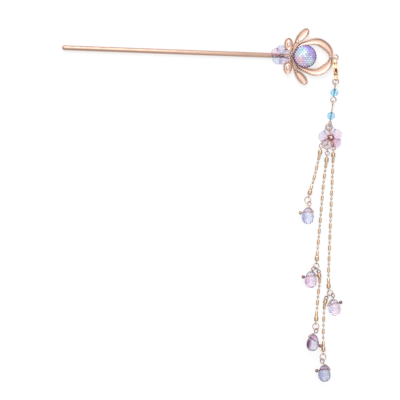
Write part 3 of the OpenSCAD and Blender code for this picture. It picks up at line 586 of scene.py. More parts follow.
# The petals' outline colour is painted shade.
GLASS_OUTLINE_SHADE = (0.6, 0.56, 0.66)


# Columns: node, diameter, rise of the petals in degrees, bore, tints of the petals in turn, heading, slot
FLOWERS = [
    ("stick_flower", 9.8 * MM, 30, 0.76 * MM, [PINK, SKY, LILAC, CLEAR, LILAC], 158, "lilac_glass"),
    ("tassel_flower", 11.8 * MM, 23, 0.86 * MM, [PINK, CLEAR, LILAC, CLEAR, MAUVE], 28, "pink_glass"),
]


def petal_reach(angle, wide):
    """How far the bead reaches at an angle from its first petal's middle, as five overlapping rounds."""
    off = (angle + radians(36)) % radians(72) - radians(36)
    petal_r = wide * 0.21
    out = wide / 2 - petal_r
    return out * cos(off) + sqrt(max(petal_r ** 2 - (out * sin(off)) ** 2, 0)), off


def flower_bead(wide, rise, bore, tints):
    """A cup of five petals about the origin with its bore along Z, tinted petal by petal."""
    bead = added(bpy.ops.mesh.primitive_circle_add, vertices=160, radius=bore / 2)
    lift = (wide / 2 - wide * 0.12) * tan(radians(rise))
    for out, up in CUP:
        def place(angle):
            reach, off = petal_reach(angle, wide)
            away = bore / 2 + (reach - bore / 2) * out
            grooves = 0.1 * cos(off * 5) + 0.1 * cos(off * 15) + 0.05 * cos(off * 40)
            sunk = grooves * MM * out * (1 - out * 0.4)
            return away * cos(angle), away * sin(angle), lift * up - sunk
        bpy.ops.mesh.extrude_region_move()
        draw_in(bead, place)
    bpy.ops.object.mode_set(mode="OBJECT")
    modify(bead, "SOLIDIFY", thickness=PETAL_GLASS, offset=1)
    modify(bead, "BEVEL", width=0.22 * MM, segments=2, limit_method="ANGLE")
    tint = bead.data.color_attributes.new("tint", "FLOAT_COLOR", "POINT")
    for vertex in bead.data.vertices:
        angle = atan2(vertex.co.y, vertex.co.x)
        petal = round(degrees(angle) / 72) % 5
        strength = min(vertex.co.xy.length / (wide * 0.28), 1)
        fade = max(vertex.co.xy.length / (wide * 0.5) - 0.7, 0) * 1.6
        mixed = [c + (t - c) * strength + (e - t) * fade for c, t, e in zip(CLEAR, tints[petal], PETAL_EDGE)]
        tint.data[vertex.index].color = (*mixed, 1)
    return close_up(bead, 50)


def clear_glass(name, paint, rim_share, clear, rim_from=0.95, rough=0.04):
    """Clear pressed glass whose colour deepens to a dark outline of painted shade, with faint ripples, and
    lets the light through.
    """
    finish = bpy.data.materials.new(name)
    node, shader = open_nodes(finish)
    fill_in(shader, Transmission_Weight=1, IOR=1.45)
    ripples = noise(node, own_place(node), 1.2 * MM, 2)
    drawn, rim = paint(node)
    cloudy = blend(node, ripples, drawn, GLASS_CLOUD, "SOFT_LIGHT")
    facing = node("ShaderNodeLayerWeight", Blend=0.35).outputs["Facing"]
    # Painted shade: the outline colour is mixed in as the face turns away.
    outlined = blend(node, ramp(node, facing, 0.24, rim_from, 0, rim_share), cloudy, rim)
    fill_in(shader, Base_Color=outlined)
    fill_in(shader, Roughness=ramp(node, ripples, 0, 1, rough * 0.5, rough * 1.8))
    dent(node, shader, ripples, 0.15, 0.1 * MM)
    half = node("ShaderNodeGamma", {"Color": outlined}, Gamma=0.5).outputs[0]
    open_way = node("ShaderNodeBsdfTransparent", {"Color": half}).outputs[0]
    through = ramp(node, node("ShaderNodeLightPath").outputs["Is Shadow Ray"], 0, 1, clear, LAMP_SHARE)
    both = node("ShaderNodeMixShader", {0: through, 1: shader.outputs[0], 2: open_way})
    fill_in(finish.node_tree.nodes["Material Output"], Surface=both.outputs[0])
    return finish


def streaked(node, drawn, place, stretch, size, dark, most):
    """A colour socket with darker streaks of a size drawn into it."""
    drawn_out = node("ShaderNodeMapping", {"Vector": place}, Scale=stretch).outputs["Vector"]
    streaks = ramp(node, noise(node, drawn_out, size, 3), 0.4, 0.62, 0, most)
    return blend(node, streaks, drawn, dark, "MULTIPLY")


def petal_paint(node):
    """The petals' tints with grey-blue streaks, and the colour of their painted-shade outline."""
    tints = noted(node, "tint", "Color")
    return streaked(node, tints, own_place(node), (1, 1, 1), 0.7 * MM, PETAL_STREAK, 0.75), GLASS_OUTLINE_SHADE


def seat_on(piece, node):
    """Move a piece's mesh so that its box has the middle of its node's box, and return the move."""
    low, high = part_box(node)
    places = [v.co for v in piece.data.vertices]
    own = Vector([(min(p[i] for p in places) + max(p[i] for p in places)) / 2 for i in range(3)])
    move = (low + high) / 2 - own
    piece.data.transform(Matrix.Translation(move))
    piece.data.update()
    return move


def turn(piece, heading, roll=0.0, spin=0.0):
    """Turn a piece's mesh: first about its own axis, then its roll, then its heading in plan, in degrees."""
    steps = (
        Matrix.Rotation(radians(heading), 4, "Z") @ Matrix.Rotation(radians(roll), 4, "Y")
        @ Matrix.Rotation(radians(spin), 4, "Z")
    )
    piece.data.transform(steps)
    piece.data.update()
    return piece


petal_glass = clear_glass("petal_glass", petal_paint, rim_share=0.35, clear=0.62)
for node, wide, rise, bore, tints, heading, slot in FLOWERS:
    bead = turn(flower_bead(wide, rise, bore, tints), heading)
    seat_on(bead, node)
    hand_over(bead, node + "_bead", node, petal_glass)

# The jump rings: rounds of bright drawn wire, cut through once and closed up with two pairs of pliers. Two at
# the filigree's tip and under the clasp and one over the lower flower are thicker than the rest.
WIRE_COLOUR = (0.68, 0.5, 0.43)
WIRE_DEEP = (0.46, 0.33, 0.29)
THICK_WIRE = 0.65 * MM
FINE_WIRE = 0.45 * MM
# Columns by wire: node, outer diameter in millimetres, heading, roll, where the cut is
JUMP_RINGS = {
    THICK_WIRE: [
        ("ring_frame", 3.6, 90, 0, 60), ("ring_clasp", 3.5, -5, 0, 20), ("ring_flower", 3.8, -14, 0, 200),
    ],
    FINE_WIRE: [
        ("ring_left", 2.6, -8, 0, 170), ("ring_middle", 2.9, 0, 0, 15), ("ring_middle_link", 2.4, 3, 90, 0),
        ("ring_middle_low", 2.5, 0, 0, 190), ("ring_right", 2.5, 0, 0, 5),
        ("ring_a_end", 3.6, -14.6, -20, 200), ("ring_b_mid", 3.3, 0, 20, 10), ("ring_b_link", 2.4, 22, 90, 0),
        ("ring_b_end", 3.6, 0, -20, 170), ("ring_c_mid", 3.3, 0, -20, 185), ("ring_c_link", 2.4, -38, 90, 0),
        ("ring_c_end", 3.6, -4, 20, 0),
    ],
}
bright_wire = plated("bright_wire", WIRE_COLOUR, WIRE_DEEP, rough=0.2, size=0.6)


def jump_ring(outer, wire):
    """A ring of round wire about the origin, flat, with its cut on +X."""
    mean = (outer - wire) / 2
    cut = 0.04 * MM / mean
    ring = added(
        bpy.ops.mesh.primitive_circle_add, vertices=16, radius=wire / 2,
        location=(mean, 0, 0), rotation=(radians(90), 0, 0),
    )
    bpy.ops.mesh.spin(steps=56, angle=tau - cut, center=(0, 0, 0), axis=(0, 0, 1))
    weld(0.001 * MM)
    bpy.ops.mesh.fill_holes(sides=0)
    return close_up(ring, 50)


for wire, rings in JUMP_RINGS.items():
    for node, outer, heading, roll, cut in rings:
        ring = turn(jump_ring(outer * MM, wire), heading, roll, cut)
        seat_on(ring, node)
        hand_over(ring, node + "_wire", node, bright_wire)

# The lobster clasp: a cast brass body with a hook, an eye at its tail and a slot, plated in yellow gold. The
# lever in the slot turns on a rivet and is sprung shut, and its thumb tab stands proud of the back.
CLASP_GOLD = (0.85, 0.61, 0.39)
CLASP_DEEP = (0.7, 0.46, 0.27)
clasp_plate = plated("clasp_plate", CLASP_GOLD, CLASP_DEEP, rough=0.22, size=0.9)


def soften(node, round_off, name, finish, body="hairpin"):
    """Hand over a copy of a node with its triangles merged and its hard edges rounded off."""
    copy = twin_of(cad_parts[node])
    for key in list(copy.keys()):
        del copy[key]
    copy.parent = None
    bpy.ops.object.mode_set(mode="EDIT")
    weld(0.002 * MM)
    bpy.ops.mesh.dissolve_limited(angle_limit=radians(3))
    bpy.ops.object.mode_set(mode="OBJECT")
    modify(copy, "BEVEL", width=round_off, segments=2, limit_method="ANGLE", angle_limit=radians(40))
    hand_over(close_up(copy, 45), name, node, finish, body)


soften("clasp_body", 0.12 * MM, "clasp_casting", clasp_plate)
soften("clasp_lever", 0.08 * MM, "clasp_gate", clasp_plate, "lever")

# The two eye pins and their beads: a piece of wire is turned into an eye, threaded through a round blue
# bead with a pearly coat, and turned into a second eye. The eyes stand at different angles.
PIN_WIRE = 0.6 * MM
LARGE_EYE = 3.2 * MM
SMALL_EYE = 2.6 * MM
BEAD_WIDE = 4 * MM
SHORT_STEM = 0.5 * MM
LONG_STEM = 2.6 * MM
EYE_STEPS = 18
BEAD_CYAN = (0.42, 0.82, 0.95)
BEAD_PERIWINKLE = (0.5, 0.66, 0.96)
# The darker violet-blue outline is partly the coat's tint and partly painted shade.
BEAD_RIM = (0.36, 0.5, 0.86)
# Columns: node, then for the eye above and for the one below its diameter, roll and bare stem, heading
EYE_PINS = [
    ("eye_pin_upper", (SMALL_EYE, 90, SHORT_STEM), (LARGE_EYE, 0, 0), -5),
    ("eye_pin_lower", (LARGE_EYE, 90, LONG_STEM), (LARGE_EYE, 60, SHORT_STEM), -6),
]


def bent_wire(points, thick):
    """A round wire bent along points, with its ends cut square."""
    let_go()
    bpy.ops.curve.primitive_bezier_curve_add()
    wire = bpy.context.object
    wire.data.splines.clear()
    run = wire.data.splines.new("BEZIER")
    run.bezier_points.add(len(points) - 1)
    for knot, point in zip(run.bezier_points, points):
        knot.co = point
        knot.handle_left_type = knot.handle_right_type = "AUTO"
    wire.data.resolution_u = 4
    wire.data.bevel_depth = thick / 2
    wire.data.bevel_resolution = 3
    wire.data.use_fill_caps = True
    bpy.ops.object.convert(target="MESH")
    wire = bpy.context.object
    bpy.ops.object.mode_set(mode="EDIT")
    weld(0.001 * MM)
    return close_up(wire, 50)


def eye(middle, radius, entry, roll):
    """Points of an open eye about its middle, from where the stem enters it and nearly all the way round."""
    side = Vector((cos(radians(roll)), 0, -sin(radians(roll))))
    return [
        middle + radius * (sin(a) * side + entry * cos(a) * Vector((0, 1, 0)))
        for a in (radians(12 + 336 * k / EYE_STEPS) for k in range(EYE_STEPS + 1))
    ]


def eye_pin(top_eye, top_roll, top_stem, low_eye, low_roll, low_stem):
    """An eye pin along Y about the middle of its bead."""
    top_r, low_r = (top_eye - PIN_WIRE) / 2, (low_eye - PIN_WIRE) / 2
    top = BEAD_WIDE / 2 + top_stem + top_eye / 2
    low = BEAD_WIDE / 2 + low_stem + low_eye / 2
    upper = eye(Vector((0, top, 0)), top_r, -1, top_roll)
    lower = eye(Vector((0, -low, 0)), low_r, 1, low_roll)
    stem = [Vector((0, y, 0)) for y in (top - top_r - 0.35 * MM, 0, low_r - low + 0.35 * MM)]
    return bent_wire(upper[::-1] + stem + lower, PIN_WIRE)


def round_bead(wide, bore):
    """A round bead about the origin with its bore along Y."""
    bead = added(bpy.ops.mesh.primitive_circle_add, vertices=40, radius=wide / 2)
    mesh = bmesh.from_edit_mesh(bead.data)
    reach = asin(bore / wide)
    for vertex in mesh.verts:
        angle = atan2(vertex.co.x, vertex.co.y)
        if angle < 0:
            vertex.co = (bore / 2, wide / 2 * cos(reach) * (1 + 2 * angle / pi), 0)
        else:
            bent = reach + (pi - 2 * reach) * angle / pi
            vertex.co = (wide / 2 * sin(bent), wide / 2 * cos(bent), 0)
    bmesh.update_edit_mesh(bead.data)
    bpy.ops.mesh.spin(steps=48, angle=tau, center=(0, 0, 0), axis=(0, 1, 0))
    weld(0.002 * MM)
    return close_up(bead, 40)


for node, top, low, heading in EYE_PINS:
    pin = turn(eye_pin(*top, *low), heading)
    seat_on(pin, node)
    hand_over(pin, node + "_wire", node, bright_wire)
# The beads' outline is partly the coat's tint and partly painted shade.
bead_glass = clear_glass(
    "blue_bead_glass", lambda node: (noted(node, "tint", "Color"), BEAD_RIM),
    rim_share=0.6, clear=0.4, rough=0.06,
)
for node, heading in (("bead_upper", -5), ("bead_lower", -6)):
    bead = turn(round_bead(BEAD_WIDE, PIN_WIRE + 0.16 * MM), heading)
    middle = seat_on(bead, node)
    tint = bead.data.color_attributes.new("tint", "FLOAT_COLOR", "POINT")
    for vertex in bead.data.vertices:
        share = min(max((vertex.co.x - middle.x) / BEAD_WIDE + 0.4, 0), 1)
        mixed = [a + (b - a) * share for a, b in zip(BEAD_CYAN, BEAD_PERIWINKLE)]
        tint.data[vertex.index].color = (*mixed, 1)
    hand_over(bead, node + "_glass", node, bead_glass)

# The connector under the lower flower, cast in brass with an arm and an eye for each thing that it carries,
# and the two flowers' pins with the small bead in the lower flower's heart.
CAST_COLOUR = (0.88, 0.55, 0.33)
CAST_DEEP = (0.62, 0.33, 0.17)
PINK_WIRE = (0.85, 0.58, 0.56)
PINK_WIRE_DEEP = (0.66, 0.36, 0.38)
HEART_WIDE = 3.4 * MM
HEART_BORE = 0.86 * MM
HEART_PINK = (0.95, 0.72, 0.8)
# The heart's dark outline colour is painted shade.
HEART_OUTLINE_SHADE = (0.3, 0.12, 0.22)
connector_plate = plated("connector_plate", CAST_COLOUR, CAST_DEEP, rough=0.22, size=0.8)
soften("connector", 0.1 * MM, "connector_casting", connector_plate)
pink_wire = plated("pink_wire", PINK_WIRE, PINK_WIRE_DEEP, rough=0.25, size=0.6)
for node, finish in (("stick_flower_pin", bright_wire), ("tassel_flower_pin", pink_wire)):
    soften(node, 0.08 * MM, node + "_wire", finish)
heart = added(bpy.ops.mesh.primitive_uv_sphere_add, segments=32, ring_count=20, radius=HEART_WIDE / 2)
choose(heart, "faces", lambda p: p.xy.length < HEART_BORE / 2)
bpy.ops.mesh.delete(type="FACE")
bpy.ops.mesh.select_mode(type="EDGE")
bpy.ops.mesh.select_non_manifold(extend=False)
bpy.ops.mesh.bridge_edge_loops()
close_up(heart, 40)
seat_on(heart, "tassel_flower_heart")


# The heart's dark mauve outline is painted shade.
heart_glass = clear_glass(
    "heart_glass", lambda node: (HEART_PINK, HEART_OUTLINE_SHADE), rim_share=0.9, rim_from=0.7, clear=0.3
)
hand_over(heart, "tassel_flower_heart_glass", "tassel_flower_heart", heart_glass)

# The end caps: small turned brass cups, each with an eye at its closed end. The chain's last bar is crimped
# into the mouth.
CAP_WIDE = 2 * MM
CAP_LONG = 2.3 * MM
CAP_EYE = 0.82 * MM
CAP_WIRE = 0.4 * MM
CAP_WALL = 0.3 * MM
CAP_COLOUR = (0.95, 0.66, 0.42)
CAP_DEEP = (0.66, 0.4, 0.24)
# Painted shade: the dark brown of the caps' low flanks.
CAP_FLANK_SHADE = (0.12, 0.06, 0.025)
# Columns of the cup from its closed end: share of its radius, share of its length
MOUTH = 0.86
INSIDE = MOUTH - 2 * CAP_WALL / CAP_WIDE
CUP_TURNING = [
    (0.6, 0), (0.8, 0.03), (0.92, 0.1), (0.98, 0.18), (1, 0.25), (1, 0.82), (0.96, 0.92), (MOUTH, 1),
    (INSIDE, 0.99), (INSIDE, 0.6),
]
# Columns: node, heading from its eye to its mouth, roll of its eye
END_CAPS = [
    ("cap_a_top", -9, 90), ("cap_b_top", -4, 90), ("cap_c_top", 0, 90), ("cap_b_low", 11, 0),
    ("cap_c_low", -14, 0), ("cap_a_end", 165.4, 90), ("cap_b_mid", 177.8, 90), ("cap_c_mid", 182.3, 90),
    ("cap_b_end", 177.5, 90), ("cap_c_end", 182.4, 90),
]


def end_cap(eye_roll):
    """An end cap with its eye about the origin and its mouth towards -Y."""
    cup = added(
        bpy.ops.mesh.primitive_circle_add, vertices=32, radius=CAP_WIDE / 2 * CUP_TURNING[0][0],
        fill_type="NGON", location=(0, -CAP_EYE, 0), rotation=(radians(90), 0, 0),
    )
    wide_before, long_before = CUP_TURNING[0]
    for wide, long in CUP_TURNING[1:]:
        step = (long_before - long) * CAP_LONG
        share = wide / wide_before
        pull(0, step, 0)
        bpy.ops.transform.resize(value=(share, 1, share), center_override=(0, -CAP_EYE - long * CAP_LONG, 0))
        wide_before, long_before = wide, long
    close_up(cup, 40)
    eye = added(
        bpy.ops.mesh.primitive_torus_add, major_radius=CAP_EYE, minor_radius=CAP_WIRE / 2,
        major_segments=32, minor_segments=12, rotation=(0, radians(eye_roll), 0),
    )
    return join([cup, close_up(eye, 50)])


def mark_crown(piece, thick):
    """Note on each point how high it stands on its round: 0 underneath and 1 on top."""
    crown = piece.data.attributes.new("crown", "FLOAT", "POINT")
    for vertex in piece.data.vertices:
        crown.data[vertex.index].value = min(max(0.5 + vertex.co.z / thick, 0), 1)
    return piece


def flank_shaded(name, colour, deep, flank_shade, rough=0.22):
    """Plate with painted shade: dark brown on the low flanks of each round, and the plain plate on its top.
    """
    finish = plated(name, colour, deep, rough=rough, size=0.8)
    node, shader = open_nodes(finish)
    plate = shader.inputs["Base Color"].links[0].from_socket
    # Painted shade grows on each round towards its underside.
    top_unshaded = ramp(node, noted(node, "crown"), 0.6, 0.98, ease="SMOOTHSTEP")
    fill_in(shader, Base_Color=blend(node, top_unshaded, flank_shade, plate))
    return finish


cap_plate = flank_shaded("cap_plate", CAP_COLOUR, CAP_DEEP, CAP_FLANK_SHADE)
for node, heading, roll in END_CAPS:
    cap = turn(mark_crown(end_cap(roll), CAP_WIDE), heading)
    seat_on(cap, node)
    hand_over(cap, node + "_cup", node, cap_plate)

# The chains: short brass bars and tiny balls in turn on fine wire links, plated rose gold. Each chain
# lies in the easy curve in which it was put down.
BAR_WIDE = 1.3 * MM
BAR_LONG = 2.7 * MM
BALL_WIDE = 1.2 * MM
PITCH = 5.4 * MM
CHAIN_WIRE = 0.24 * MM
# The thread's points count as low on a round of this width, so that the painted shade makes it browner than
# the bars
THREAD_ROUND = 3 * MM
CHAIN_COLOUR = (0.95, 0.66, 0.42)
CHAIN_DEEP = (0.76, 0.48, 0.28)
# Painted shade: the dark brown of the chain's low flanks.
CHAIN_FLANK_SHADE = (0.17, 0.09, 0.035)
# Columns: node, points of its route in plan from its own start, in millimetres
CHAINS = {
    "chain_a": [(0, 0), (-0.5, -2.5), (-1.3, -7), (-2.4, -12.4), (-3.2, -15.3), (-3.8, -17.6)],
    "chain_b_upper": [
        (0, 0), (-0.3, -2.5), (-1, -10), (-1.7, -24), (-2.6, -41.4), (-2.8, -44.2), (-2.9, -46.8),
    ],
    "chain_b_lower": [
        (0, 0), (0.2, -1.6), (0.1, -3.4), (-0.3, -6.4), (-0.6, -12.2), (-0.8, -16.8), (-0.9, -19.1),
    ],
    "chain_c_upper": [(0, 0), (0, -2.5), (-0.1, -19), (-0.2, -40), (-0.2, -57.4), (-0.1, -60.5), (0, -63)],
    "chain_c_lower": [(0, 0), (-0.1, -2.5), (-0.1, -8), (-0.1, -14), (0.1, -18.8), (0.2, -21.2)],
}
# Height of a chain's route at its ends and between them
LIFT_END = 1.225
LIFT_MIDDLE = 0.72

bar = added(
    bpy.ops.mesh.primitive_cylinder_add, vertices=16, radius=BAR_WIDE / 2, depth=BAR_LONG,
    rotation=(radians(90), 0, 0),
)
choose(bar, "faces", lambda p: abs(abs(p.y) - BAR_LONG / 2) < NEAR)
bpy.ops.mesh.inset(thickness=0.3 * MM)
bpy.ops.transform.resize(value=(1, 0.86, 1), center_override=(0, 0, 0))
choose(bar, "edges", lambda p: abs(abs(p.y) - BAR_LONG / 2) < NEAR and p.xz.length > BAR_WIDE * ON_EDGE)
bpy.ops.mesh.bevel(offset=0.2 * MM, segments=3)
mark_crown(close_up(bar, 40), BAR_WIDE)
ball = added(bpy.ops.mesh.primitive_uv_sphere_add, segments=14, ring_count=10, radius=BALL_WIDE / 2)
mark_crown(close_up(ball, 50), BALL_WIDE)


def place_along(route, way):
    """The place at a distance along a route."""
    for start, end in zip(route, route[1:]):
        step = (end - start).length
        if way <= step or end is route[-1]:
            return start + (end - start) * way / step
        way -= step


def strung(parts, route):
    """Copies of parts at distances along a route, each with its own mesh, on a wire."""
    made = []
    for part, way, half in parts:
        start, end = place_along(route, way - half), place_along(route, way + half)
        spot, ahead = (start + end) / 2, (end - start).normalized()
        copy = twin_of(part)
        copy.data.transform(Matrix.Translation(spot) @ (-ahead).to_track_quat("Y", "Z").to_matrix().to_4x4())
        made.append(copy)
    return made


chain_plate = flank_shaded("chain_plate", CHAIN_COLOUR, CHAIN_DEEP, CHAIN_FLANK_SHADE, rough=0.25)
for node, plan in CHAINS.items():
    heights = [LIFT_END] + [LIFT_MIDDLE] * (len(plan) - 2) + [LIFT_END]
    route = [Vector((x, y, z)) * MM for (x, y), z in zip(plan, heights)]
    total = sum((b - a).length for a, b in zip(route, route[1:]))
    bars = round((total - BAR_LONG) / PITCH) + 1
    pitch = (total - BAR_LONG) / (bars - 1)
    parts = [(bar, BAR_LONG / 2 + k * pitch, BAR_LONG / 2) for k in range(bars)]
    parts += [(ball, BAR_LONG / 2 + (k + 0.5) * pitch, BALL_WIDE / 2) for k in range(bars - 1)]
    pieces = strung(parts, route)
    run = [place_along(route, total * k / 60) for k in range(61)]
    thread = mark_crown(bent_wire(run, CHAIN_WIRE), THREAD_ROUND)
    chain = join(pieces + [thread])
    seat_on(chain, node)
    hand_over(chain, node + "_bars", node, chain_plate)
bpy.data.objects.remove(bar)
bpy.data.objects.remove(ball)

# The five drops: fat clear glass drops, pressed, fire polished and drilled across near the slim top. Each
# lies on its side with its slim top a little lower than its belly.
DROP_LONG = 8.5 * MM
DROP_WIDE = 6 * MM
DROP_TAPER = 0.18
DROP_TILT = 14.6
BORE = 0.61 * MM
BORE_SIDES = 20
# Columns: heading, side of the pin's ball, angles from the bottom round the outline to the ball and to the
# bend, slot
DROPS = {
    "a": (3, -1, 112, 112, "drop_blue"), "b_mid": (2, -1, 110, 114, "drop_pink"),
    "b_end": (-8, 1, 84, 126, "drop_violet"), "c_mid": (5, 1, 122, 104, "drop_violet"),
    "c_end": (5, -1, 112, 114, "drop_blue"),
}
# Columns: body tint, side tint, top tint, tint of the outline, which is painted shade
DROP_TINTS = {
    "a": ((0.89, 0.91, 0.94), (0.52, 0.58, 0.84), (0.98, 0.76, 0.86), (0.34, 0.36, 0.58)),
    "b_mid": ((0.99, 0.83, 0.87), (1, 0.63, 0.77), (0.99, 0.96, 0.98), (0.56, 0.4, 0.52)),
    "b_end": ((0.93, 0.9, 0.91), (0.14, 0.008, 0.08), (0.84, 0.48, 0.68), (0.015, 0.002, 0.012)),
    "c_mid": ((1, 0.82, 0.84), (0.8, 0.84, 0.96), (0.98, 0.92, 0.95), (0.6, 0.52, 0.66)),
    "c_end": ((0.7, 0.72, 0.78), (0.5, 0.51, 0.7), (0.6, 0.4, 0.52), (0.06, 0.05, 0.14)),
}
# The outline over the top is painted shade, darker still.
TOP_OUTLINE_SHADE = (0.06, 0.025, 0.06)
DROP_STREAK = (0.5, 0.52, 0.72)


def outline(angle, side, off=0.0):
    """A place on the drop's outline in its own plane, at an angle from the bottom, and off it."""
    def at(a):
        a = radians(a)
        fat = DROP_WIDE / 2 * (1 + DROP_TAPER * cos(a))
        return Vector((fat * sin(a), -DROP_LONG / 2 * cos(a)))
    along = (at(angle + 1) - at(angle - 1)).normalized()
    spot = at(angle) + off * Vector((along.y, -along.x))
    return Vector((side * spot.x, spot.y, 0))


def glass_drop(ball_at, bend_at):
    """A drop about the origin, its bottom towards -Y, drilled across between two places."""
    drop = added(
        bpy.ops.mesh.primitive_uv_sphere_add, segments=80, ring_count=60, radius=1,
        rotation=(radians(90), 0, 0),
    )
    bpy.ops.object.mode_set(mode="OBJECT")
    for vertex in drop.data.vertices:
        fat = DROP_WIDE / 2 * (1 - DROP_TAPER * vertex.co.y)
        vertex.co = (vertex.co.x * fat, vertex.co.y * DROP_LONG / 2, vertex.co.z * fat)
    close_up(drop, 60)
    drill = added(
        bpy.ops.mesh.primitive_cylinder_add, vertices=BORE_SIDES, radius=BORE / 2, depth=DROP_WIDE * 2,
        location=(ball_at + bend_at) / 2, rotation=(bend_at - ball_at).to_track_quat("Z", "Y").to_euler(),
    )
    bpy.ops.object.mode_set(mode="OBJECT")
    take(drop)
    modify(drop, "BOOLEAN", object=drill)
    bpy.data.objects.remove(drill)
    return close_up(drop, 40)


def drop_paint(node, middle, heading, body, side, top, edge):
    """Tints that shade from one side's through the body's to the top's, with streaks, and the painted-shade
    outline's, darkest over the top.
    """
    laid_straight = node(
        "ShaderNodeMapping", {"Vector": own_place(node)}, vector_type="TEXTURE", Location=middle,
        Rotation=(0, 0, radians(heading)),
    ).outputs["Vector"]
    axes = node("ShaderNodeSeparateXYZ", {"Vector": laid_straight})
    sideways = ramp(node, axes.outputs["X"], -0.38 * DROP_WIDE, 0.05 * DROP_WIDE, ease="SMOOTHSTEP")
    upward = ramp(node, axes.outputs["Y"], 0.1 * DROP_LONG, 0.3 * DROP_LONG, ease="SMOOTHSTEP")
    shaded = blend(node, upward, blend(node, sideways, side, body), top)
    streaky = streaked(node, shaded, laid_straight, (1, 0.28, 0.6), 0.55 * MM, DROP_STREAK, 0.9)
    return streaky, blend(node, upward, edge, TOP_OUTLINE_SHADE)


drilled = {}
for name, (heading, side, ball_angle, bend_angle, slot) in DROPS.items():
    ball_at, bend_at = outline(ball_angle, side), outline(bend_angle, -side)
    drop = glass_drop(ball_at, bend_at)
    lying = Matrix.Rotation(radians(heading), 4, "Z") @ Matrix.Rotation(radians(-DROP_TILT), 4, "X")
    drop.data.transform(lying)
    drop.data.update()
    middle = seat_on(drop, "drop_" + name)
    drilled[name] = (ball_at, bend_at, Matrix.Translation(middle) @ lying)
    glass = clear_glass(
        "drop_glass_" + name, lambda node: drop_paint(node, middle, heading, *DROP_TINTS[name]),
        rim_share=0.95, rim_from=0.56, clear=0.35, rough=0.03,
    )
    hand_over(drop, "drop_" + name + "_glass", "drop_" + name, glass)

# The drops' pins: a wire with a ball on its end runs across through the glass, bends up its side over the
# top, and is turned into a loop that hangs on the ring.
PIN_BALL = 1.8 * MM
RUN_OUT = 0.08 * MM
LOOP_ROLL = 38
# How far the wire's middle stands off the glass
HUG = FINE_WIRE / 2 + 1.5 * RUN_OUT
mauve_wire = plated("mauve_wire", (0.5, 0.3, 0.24), (0.24, 0.13, 0.13), rough=0.2, size=0.6)
tan_wire = plated("tan_wire", (0.8, 0.55, 0.4), (0.5, 0.32, 0.22), rough=0.2, size=0.6)
# Columns: heading of the neck, outer diameter of the loop, side that the loop leans to, wire
DROP_PINS = {
    "a": (-21, 2.7, 1, tan_wire), "b_mid": (-44, 2.6, -1, mauve_wire), "b_end": (-26, 2.7, 1, mauve_wire),
    "c_mid": (16, 2.6, 1, mauve_wire), "c_end": (22, 2.7, -1, mauve_wire),
}
for name, (neck, loop, lean, finish) in DROP_PINS.items():
    heading, side, _, bend_angle, _ = DROPS[name]
    ball_at, bend_at, placed = drilled[name]
    ahead = (bend_at - ball_at).normalized()
    ball_mid = ball_at - ahead * (PIN_BALL / 2 + 2 * RUN_OUT)
    loop_r = (loop * MM - FINE_WIRE) / 2
    crown = Vector((0, DROP_LONG / 2, 0))
    bent = radians(neck - heading)
    rise = Vector((-sin(bent), cos(bent), 0))
    loop_mid = crown + (loop_r + FINE_WIRE + 0.6 * MM) * rise
    up_side = [outline(a, -side, HUG) for a in range(bend_angle + 14, 169, 12)]
    roll = radians(LOOP_ROLL * lean)
    level = Vector((rise.y, -rise.x, 0)) * cos(roll) - Vector((0, 0, 1)) * sin(roll)
    turns = [radians(14 + 332 * k / EYE_STEPS) for k in range(EYE_STEPS + 1)]
    points = [ball_mid, (ball_at + bend_at) / 2, bend_at, bend_at + ahead * HUG * 1.4] + up_side
    points += [loop_mid - rise * (loop_r + 0.25 * MM)]
    points += [loop_mid - loop_r * (cos(a) * rise + sin(a) * level * side) for a in turns]
    wire = bent_wire(points, FINE_WIRE)
    ball = added(
        bpy.ops.mesh.primitive_uv_sphere_add, segments=24, ring_count=16, radius=PIN_BALL / 2,
        location=ball_mid,
    )
    pin = join([wire, close_up(ball, 50)])
    pin.data.transform(placed)
    pin.data.update()
    hand_over(pin, "drop_pin_" + name + "_wire", "drop_pin_" + name, finish)

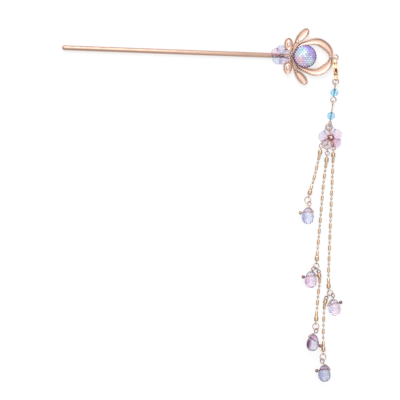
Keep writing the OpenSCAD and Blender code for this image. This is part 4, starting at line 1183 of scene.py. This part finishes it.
# The studio: a wide pale floor, a big soft lamp from above the picture's top, a weaker one opposite, and a
# camera straight above that is turned so that the stick slopes down to the right.
FLOOR = (0.3, 0.299, 0.3)
FLOOR_GLOW = 0.7
SLOPE = 2.1
VIEW_WIDE = 200.3 * MM
VIEW_MIDDLE = (71.72 * MM, -73.58 * MM)
WALL_LOW = (0.34, 0.3, 0.32)
WALL_HIGH = (0.95, 0.95, 0.96)
LENS = 180
SENSOR = 36
let_go()
bpy.ops.mesh.primitive_plane_add(size=6)
floor = bpy.context.object
floor.name = "floor"
paint = bpy.data.materials.new("floor_paint")
fill_in(
    open_nodes(paint)[1], Base_Color=(*FLOOR, 1), Roughness=0.9, Emission_Color=(1, 1, 1, 1),
    Emission_Strength=FLOOR_GLOW,
)
floor.data.materials.append(paint)

# Columns: name, place, size, power, colour
LAMPS = [
    ("key", (-0.15, 0.75, 0.9), 0.7, 6, (1, 1, 1)),
    ("fill", (0.6, -0.7, 0.8), 0.8, 1.6, (1, 0.98, 0.96)),
    ("overhead", (0.1, 0.05, 1.6), 1.2, 4, (0.99, 0.99, 1)),
]
for name, place, size, power, colour in LAMPS:
    let_go()
    bpy.ops.object.light_add(type="AREA", location=place)
    lamp = bpy.context.object
    lamp.name = name
    lamp.data.size = size
    lamp.data.energy = power
    lamp.data.color = colour
    lamp.rotation_euler = (-Vector(place)).to_track_quat("-Z", "Y").to_euler()

room = bpy.data.worlds.new("studio")
bpy.context.scene.world = room
node, _ = open_nodes(room)
aim = node("ShaderNodeSeparateXYZ", {"Vector": node("ShaderNodeTexCoord").outputs["Generated"]})
wall = blend(node, ramp(node, aim.outputs["Z"], 0, 0.4), WALL_LOW, WALL_HIGH)
far_side = ramp(node, aim.outputs["Y"], -0.8, 0.6, 0.55, 1)
lit = node("ShaderNodeVectorMath", {0: wall, "Scale": far_side}, operation="SCALE")
fill_in(room.node_tree.nodes["Background"], Color=lit.outputs[0], Strength=0.8)
bpy.context.scene.view_settings.view_transform = "Standard"

lens = bpy.data.cameras.new("camera")
lens.lens = LENS
lens.sensor_width = SENSOR
lens.clip_end = 10
camera = bpy.data.objects.new("camera", lens)
bpy.context.scene.collection.objects.link(camera)
camera.location = (tip_x + VIEW_MIDDLE[0], line_y + VIEW_MIDDLE[1], VIEW_WIDE * LENS / SENSOR)
camera.rotation_euler = (0, 0, radians(SLOPE))
bpy.context.scene.camera = camera
